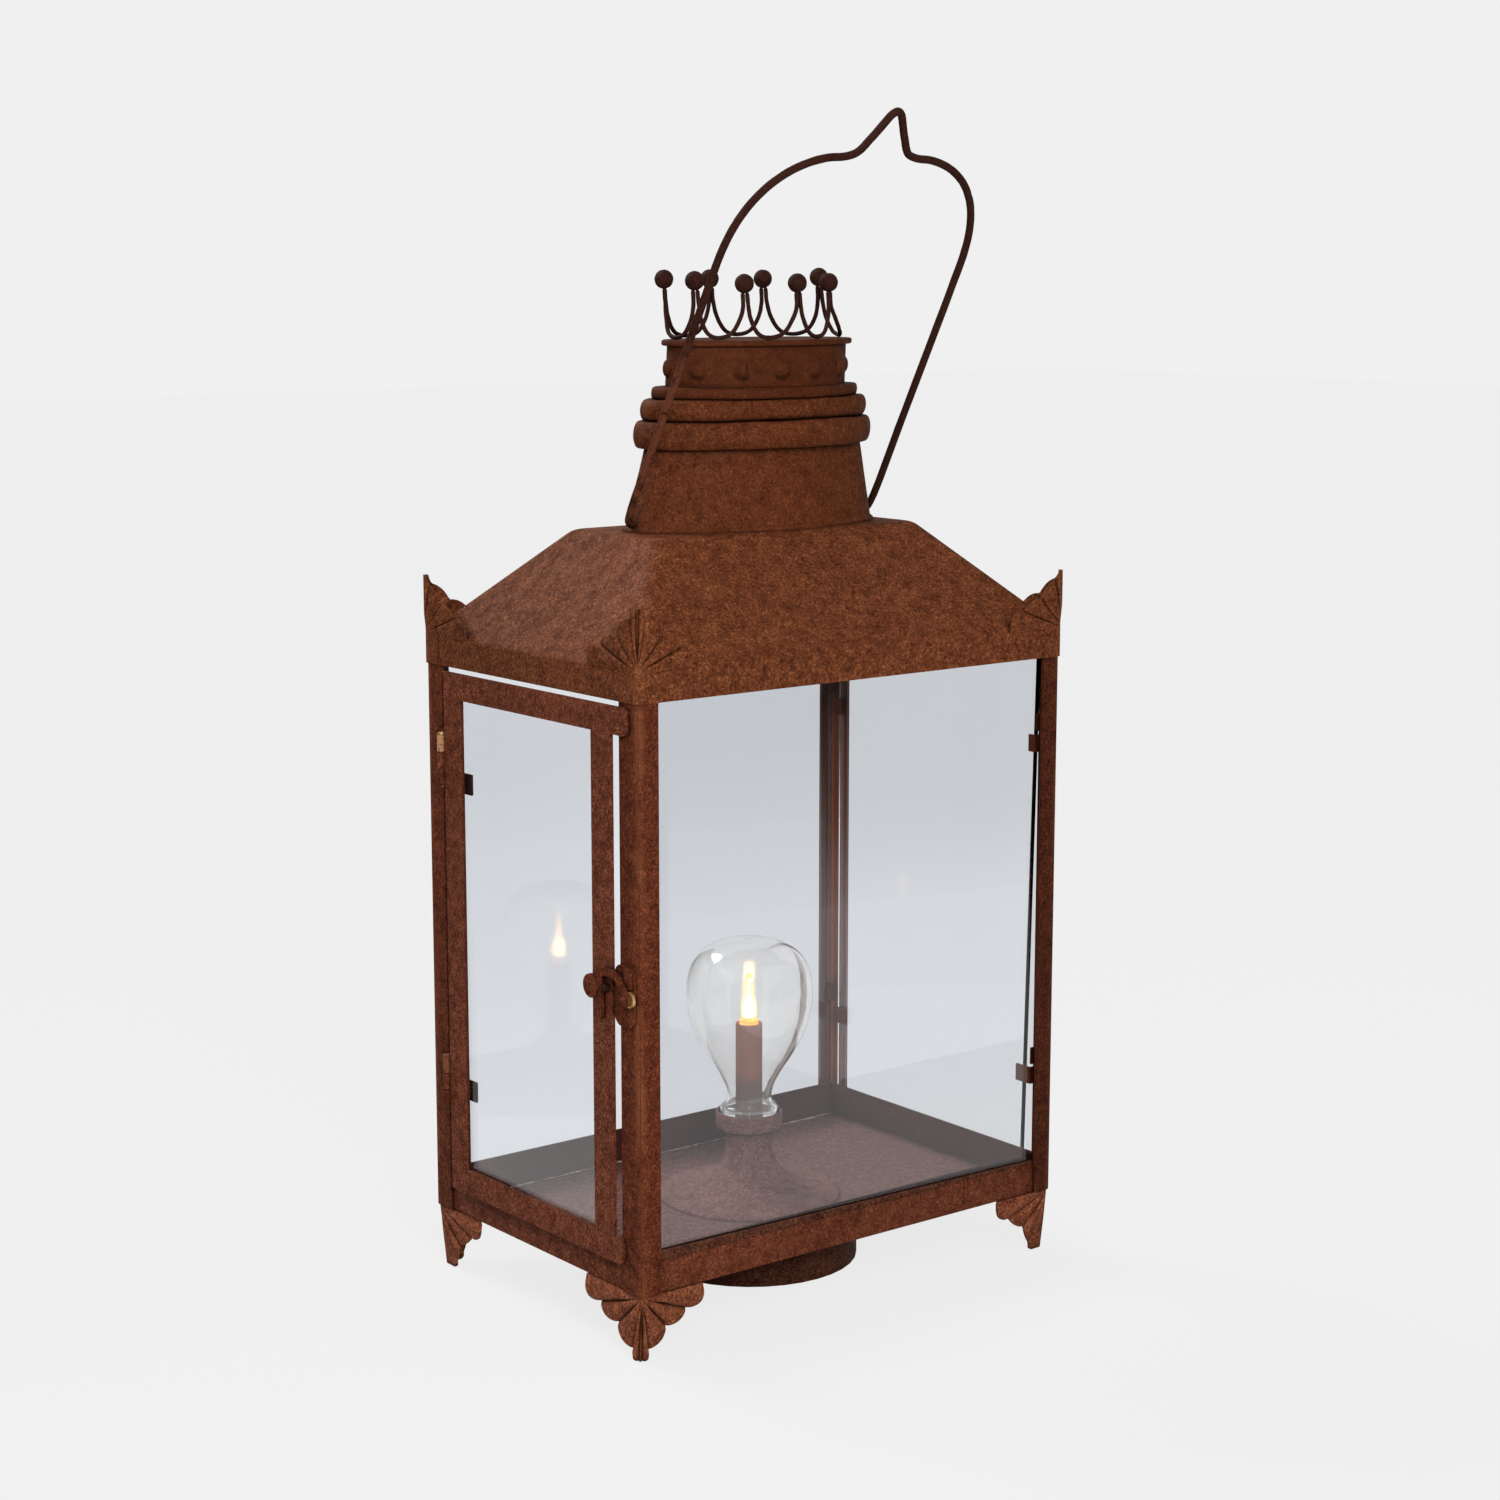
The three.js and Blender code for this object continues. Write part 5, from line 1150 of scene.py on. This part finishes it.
def bail():
    turn = Matrix.Rotation(math.radians(BAIL_LEAN), 4, "X")
    left = [Vector((-x, 0, z)) for x, z in BAIL_HALF]
    right = [Vector((x, 0, z)) for x, z in reversed(BAIL_HALF)]
    line = smooth_line([*left, Vector((0, 0, BAIL_PEAK)), *right], 6)
    bm = tube([BAIL_PIVOT + turn @ p for p in line], BAIL_WIRE, 20, 0.10)
    stand_in("bail_handle", bm, bail_wire, 60, "rusted_wire", "bail")


bail()


# Panes, door, hinges and latch


def along_x(outline, segments=40):
    """A turned form on the latch rivet's axis, from (radius, x) pairs in mm."""
    bm = merged(lathe(outline, segments))
    turn = Matrix.Rotation(math.radians(90), 4, "Y")
    place = Matrix.Translation(Vector((0, RIVET_Y, RIVET_Z)) * MM)
    bmesh.ops.transform(bm, matrix=place @ turn, verts=bm.verts)
    return bm


def latch_rivet():
    """A brass shoulder under the hook and a rust-brown domed head over it."""
    shoulder = [(0, -91.7), (2.2, -91.7), (2.5, -91.6), (2.6, -91.4), (2.6, -90.8), (0.9, -90.8)]
    shoulder += [(0.9, -88.7), (1.53, -88.7), (1.53, -87.9), (0, -87.9)]
    head = [(0, -94.4), (0.5, -94.36), (1.0, -94.18), (1.36, -93.9), (1.5, -93.5)]
    head += [(0.9, -93.5), (0.9, -91.65), (0, -91.65)]
    mesh = mesh_of(along_x(shoulder), "rivet_shoulder_form")
    finish_piece("latch_rivet_shoulder", mesh, worn_brass, "worn_brass", "lantern", "latch_rivet")
    mesh = mesh_of(along_x(head), "rivet_head_form")
    finish_piece("latch_rivet_head", mesh, sheet, "rusted_sheet", "lantern", "latch_rivet")


def openings():
    dress("pane_front", shaded_front_glass, 0.15, "pane_glass")
    dress("pane_back", pane_glass, 0.15, "pane_glass")
    dress("pane_right", lit_end_glass, 0.15, "pane_glass")
    dress("door_pane", lit_end_glass, 0.15, "pane_glass", "door")
    dress("door_frame", door_sheet, 0.25, body="door", segments=3)
    dress("door_stud", wire, 0.12, body="door")
    dress("hinge_pin_lower", dull_brass, 0.12, "worn_brass")
    dress("hinge_pin_upper", worn_brass, 0.12, "worn_brass")
    dress("latch_plate", sheet, 0.25)
    dress("latch_hook", sheet, 0.3, body="latch_hook", segments=3)
    latch_rivet()


openings()


# Battery box

HOUSING_RADIUS = 37.5
HOUSING_WALL = 1.2
COVER_TOP = 2.6


def battery_box():
    top, outer, inner = TRAY_Z, HOUSING_RADIUS, HOUSING_RADIUS - HOUSING_WALL
    inside = [(3, top - HOUSING_WALL), (inner, top - HOUSING_WALL), (inner, COVER_TOP)]
    outline = [*inside, (outer, COVER_TOP), (outer, top), (3, top)]
    bm = merged(lathe(ringed(outline), 128, BATTERY_X))
    add_bevel(stand_in("battery_housing", bm, drum_sheet, EDGE_DEGREES), 0.2)
    dress("battery_cover", drum_sheet, 0.2)
    dress("battery_holder", black_plastic, 0.2, "black_plastic")
    for n in (1, 2, 3):
        dress(f"battery_{n}", cell_jacket, 0.3, "cell_jacket")
    dress("contacts_left", nickel, 0.1, "nickel_contact")
    dress("contacts_right", nickel, 0.1, "nickel_contact")
    dress("switch_slider", black_plastic, 0.15, "black_plastic", "switch_slider")


battery_box()


# Lamp: spun foot with its cup, tube, emitter and open glass bulb

CUP_Z = FLOOR_Z + 24.3
CUP_SHEET = 1.5
TUBE_RADIUS = 4.67
TUBE_BORE = 3.72
LENS_RADIUS = 3.42
BULB_WALL = 0.9
LIP_BEAD = 1.1
LIP_BEAD_HEIGHT = 2.9


def spline(points):
    return [(p.x, p.y) for p in smooth_line([Vector((a, b, 0)) for a, b in points], 5)]


def lamp_foot():
    side = [(32, 0), (31.6, 1), (25, 2.4), (17, 5), (11.6, 9), (8.8, 14.5), (8.2, 20.4), (8.9, 23.4)]
    outside = spline(side)
    inside = [(r - 1.1, max(h - 1.1, 0.2) if i else 0.0) for i, (r, h) in enumerate(outside)]
    rim = [(10.6, 0), (11.2, 0.2), (11.6, 0.7), (11.7, 1.4), (11.7, 5.6), (11.55, 6.0), (11.1, 6.2)]
    rim += [(10.75, 6.05)]
    under = CUP_WEB_TOP - CUP_SHEET
    well = [(10.6, CUP_WEB_TOP), (3.12, CUP_WEB_TOP), (3.12, under), (7.8, under)]
    outline = [(r, FLOOR_Z + h) for r, h in outside] + [(r, CUP_Z + h) for r, h in rim] + well
    outline += [(r, FLOOR_Z + h) for r, h in reversed(inside)]
    stand_in("lamp_foot", merged(lathe(ringed(outline), 96, LAMP_X)), lamp_sheet, 40)


def candle_tube():
    rim = [(TUBE_RADIUS, -0.3), (4.58, -0.08), (4.4, 0), (3.95, 0), (3.78, -0.1), (TUBE_BORE, -0.4)]
    foot = [(TUBE_BORE, CUP_WEB_TOP), (TUBE_RADIUS, CUP_WEB_TOP)]
    outline = [*foot, *[(r, TUBE_TOP + h) for r, h in rim]]
    stand_in("candle_tube", merged(lathe(ringed(outline), 64, LAMP_X)), tube_sheet, 40)


def emitter():
    """The LED in two pieces, a clear lens and the lit core inside it."""
    lens = [(0, -6), (LENS_RADIUS, -6), (LENS_RADIUS, 0.0), (3.1, 0.25), (3.1, 1.35), (2.65, 1.5), (2.58, 3)]
    lens += [(2.55, 6.6), (2.35, 8), (2.05, 8.9), (1.4, 10), (1.36, 11.5), (1.45, 13), (1.35, 15)]
    lens += [(1.15, 16.3), (0.6, 17.7), (0, LED_HEIGHT)]
    bm = merged(lathe([(r, TUBE_TOP + h) for r, h in lens], 48, LAMP_X))
    stand_in("led", bm, led_lens, 40, "led_amber")
    core = [(0, 1.8), (1.7, 2.0), (2.0, 3.4), (1.9, 5.6), (1.4, 7.4), (0.7, 9.2), (0.55, 12), (0.7, 14.5)]
    core += [(0, 16.5)]
    mesh = mesh_of(merged(lathe([(r, TUBE_TOP + h) for r, h in core], 32, LAMP_X)), "led_core_form", 40)
    finish_piece("led_core_look", mesh, led_core, "led_amber", "lantern", "led")


def bulb():
    line = [(9.7, 0), (9.8, 1.6), (10.15, 2.7), (9.8, 3.8), (8.6, 4.7), (7.9, 7.0), (8.6, 11), (11, 16)]
    line += [(14.6, 21.6), (18.2, 28), (20.9, 35), (22.1, 42), (22.1, 46.5), (20.9, 53), (17.6, 58.3)]
    line += [(12.2, 61.8), (6, 63.3), (0, 63.7)]
    outside = [(max(r, 0), h) for r, h in spline(line)]
    inside = []
    for i, (r, h) in enumerate(outside):
        below, above = outside[max(i - 1, 0)], outside[min(i + 1, len(outside) - 1)]
        length = math.hypot(above[0] - below[0], above[1] - below[1])
        dr, dh = (above[1] - below[1]) / length, (above[0] - below[0]) / length
        lip = LIP_BEAD * math.exp(-((h - LIP_BEAD_HEIGHT) ** 2) / 1.2)
        inside.append((max(r - (BULB_WALL + lip) * dr, 0), h + BULB_WALL * dh if i else 0.0))
    inside[-1] = (0, line[-1][1] - BULB_WALL)
    profile = [*reversed(inside), *outside]
    bm = merged(lathe([(r, CUP_WEB_TOP + h) for r, h in profile], 96, LAMP_X))
    stand_in("glass_bulb", bm, bulb_glass, 50, "bulb_glass")


lamp_foot()
candle_tube()
emitter()
bulb()


# Floor, light and camera. Places and sizes from here on are in metres.

WHITE = (1.0, 1.0, 1.0)
BACKGROUND = (0.871, 0.871, 0.871)
FLOOR_DROP = 0.0003
FLOOR_GREY = (0.48, 0.48, 0.48)
FLOOR_POWER = 0.905
FLOOR_EVEN = 0.88  # share of the floor's look that is even white, where it is seen and not lighting
CARD_FOOT_POWER = 0.8
CARD_TOP_POWER = 0.02
WORLD_LIGHT = 0.4
FAR_LIGHT_COLOUR = (1.0, 0.99, 0.97)
CAMERA_PLACE = (-0.6024, -0.7676, 0.3476)
CAMERA_DOWN = 9.678  # degrees below level
CAMERA_TURN = -38.214  # degrees anticlockwise from +Y, seen from above
CAMERA_LENS = 69.10
SENSOR_WIDTH = 36


def floor():
    bm = bmesh.new()
    bmesh.ops.create_grid(bm, x_segments=8, y_segments=8, size=6.0)
    mesh = mesh_of(bm, "floor_form")
    piece = add_object("floor", mesh)
    piece.location = (0, 0, -FLOOR_DROP)
    material, tree, shader = new_material("pale_floor")
    fill(tree, shader, {"Base Color": FLOOR_GREY, "Roughness": 0.9, "Specular IOR Level": 0.1})
    seen = ray_kind(tree, "Is Camera Ray", "Is Transmission Ray", "Is Glossy Ray")
    even = emission(tree, WHITE, FLOOR_POWER)
    show(tree, join_shaders(tree, product(tree, seen, FLOOR_EVEN), shader.outputs["BSDF"], even))
    mesh.materials.append(material)


def studio_card(name, start, end, height, fade):
    """An upright card between two points of the floor, which only mirrored rays show.

    It is as pale as the floor at its foot and dark from fade metres up.
    """
    bm = bmesh.new()
    start, end, top = Vector((*start, 0)), Vector((*end, 0)), Vector((0, 0, height))
    bm.faces.new([bm.verts.new(corner) for corner in (start, end, end + top, start + top)])
    mesh = mesh_of(bm, name + "_form")
    piece = add_object(name, mesh)
    material, tree, shader = new_material(name)
    rise = step_up(tree, axes(tree)[2], -0.4 * fade, fade)
    power = grey_ramp(tree, rise, [(0.0, CARD_FOOT_POWER), (1.0, CARD_TOP_POWER)])
    looks = {"Base Color": (0.01, 0.01, 0.01), "Emission Color": WHITE, "Emission Strength": power}
    fill(tree, shader, looks)
    mirrored = maths(tree, "GREATER_THAN", ray_kind(tree, "Glossy Depth"), 0.5)
    show(tree, join_shaders(tree, mirrored, see_through(tree), shader.outputs["BSDF"]))
    mesh.materials.append(material)
    piece.visible_camera = False
    piece.visible_diffuse = False
    piece.visible_shadow = False


def world():
    scene_world = bpy.data.worlds.new("studio")
    bpy.context.scene.world = scene_world
    scene_world.use_nodes = True
    tree = scene_world.node_tree
    light = tree.nodes["Background"]
    fill(tree, light, {"Color": WHITE, "Strength": WORLD_LIGHT})
    plain = tree.nodes.new("ShaderNodeBackground")
    fill(tree, plain, {"Color": BACKGROUND, "Strength": 1.0})
    seen = ray_kind(tree, "Is Camera Ray", "Is Glossy Ray", "Is Transmission Ray")
    joined = join_shaders(tree, seen, light.outputs["Background"], plain.outputs["Background"])
    show(tree, joined, "World Output")


def sun(name, strength, colour, angle, elevation, azimuth):
    """A soft lamp far away. Azimuth is the side that it stands on, in degrees from +X towards +Y."""
    data = bpy.data.lights.new(name, "SUN")
    data.energy = strength
    data.color = colour
    data.angle = math.radians(angle)
    e, a = math.radians(elevation), math.radians(azimuth)
    away = Vector((math.cos(e) * math.cos(a), math.cos(e) * math.sin(a), math.sin(e)))
    add_object(name, data).rotation_euler = away.to_track_quat("Z", "Y").to_euler()


def softbox(name, watts, size, place, target):
    data = bpy.data.lights.new(name, "AREA")
    data.shape = "RECTANGLE"
    data.size, data.size_y = size
    data.energy = watts
    box = add_object(name, data)
    box.location = place
    box.rotation_euler = (Vector(place) - Vector(target)).to_track_quat("Z", "Y").to_euler()


def camera():
    data = bpy.data.cameras.new("camera")
    data.sensor_width = SENSOR_WIDTH
    data.lens = CAMERA_LENS
    piece = add_object("camera", data)
    piece.location = CAMERA_PLACE
    turns = (math.radians(90 - CAMERA_DOWN), 0, math.radians(CAMERA_TURN))
    piece.rotation_euler = Euler(turns, "XYZ")
    bpy.context.scene.camera = piece


floor()
studio_card("front_card", (-0.9, -0.80), (2.2, -0.14), height=2.2, fade=0.06)
studio_card("end_card", (-0.58, -0.10), (0.13, 0.45), height=0.36, fade=0.14)
world()
softbox("key", watts=8.0, size=(0.3, 0.4), place=(-0.38, -0.76, 0.55), target=(0, 0, 0.18))
sun("back", strength=3.0, colour=FAR_LIGHT_COLOUR, angle=28, elevation=40, azimuth=104)
camera()
bpy.context.scene.view_settings.view_transform = "Standard"
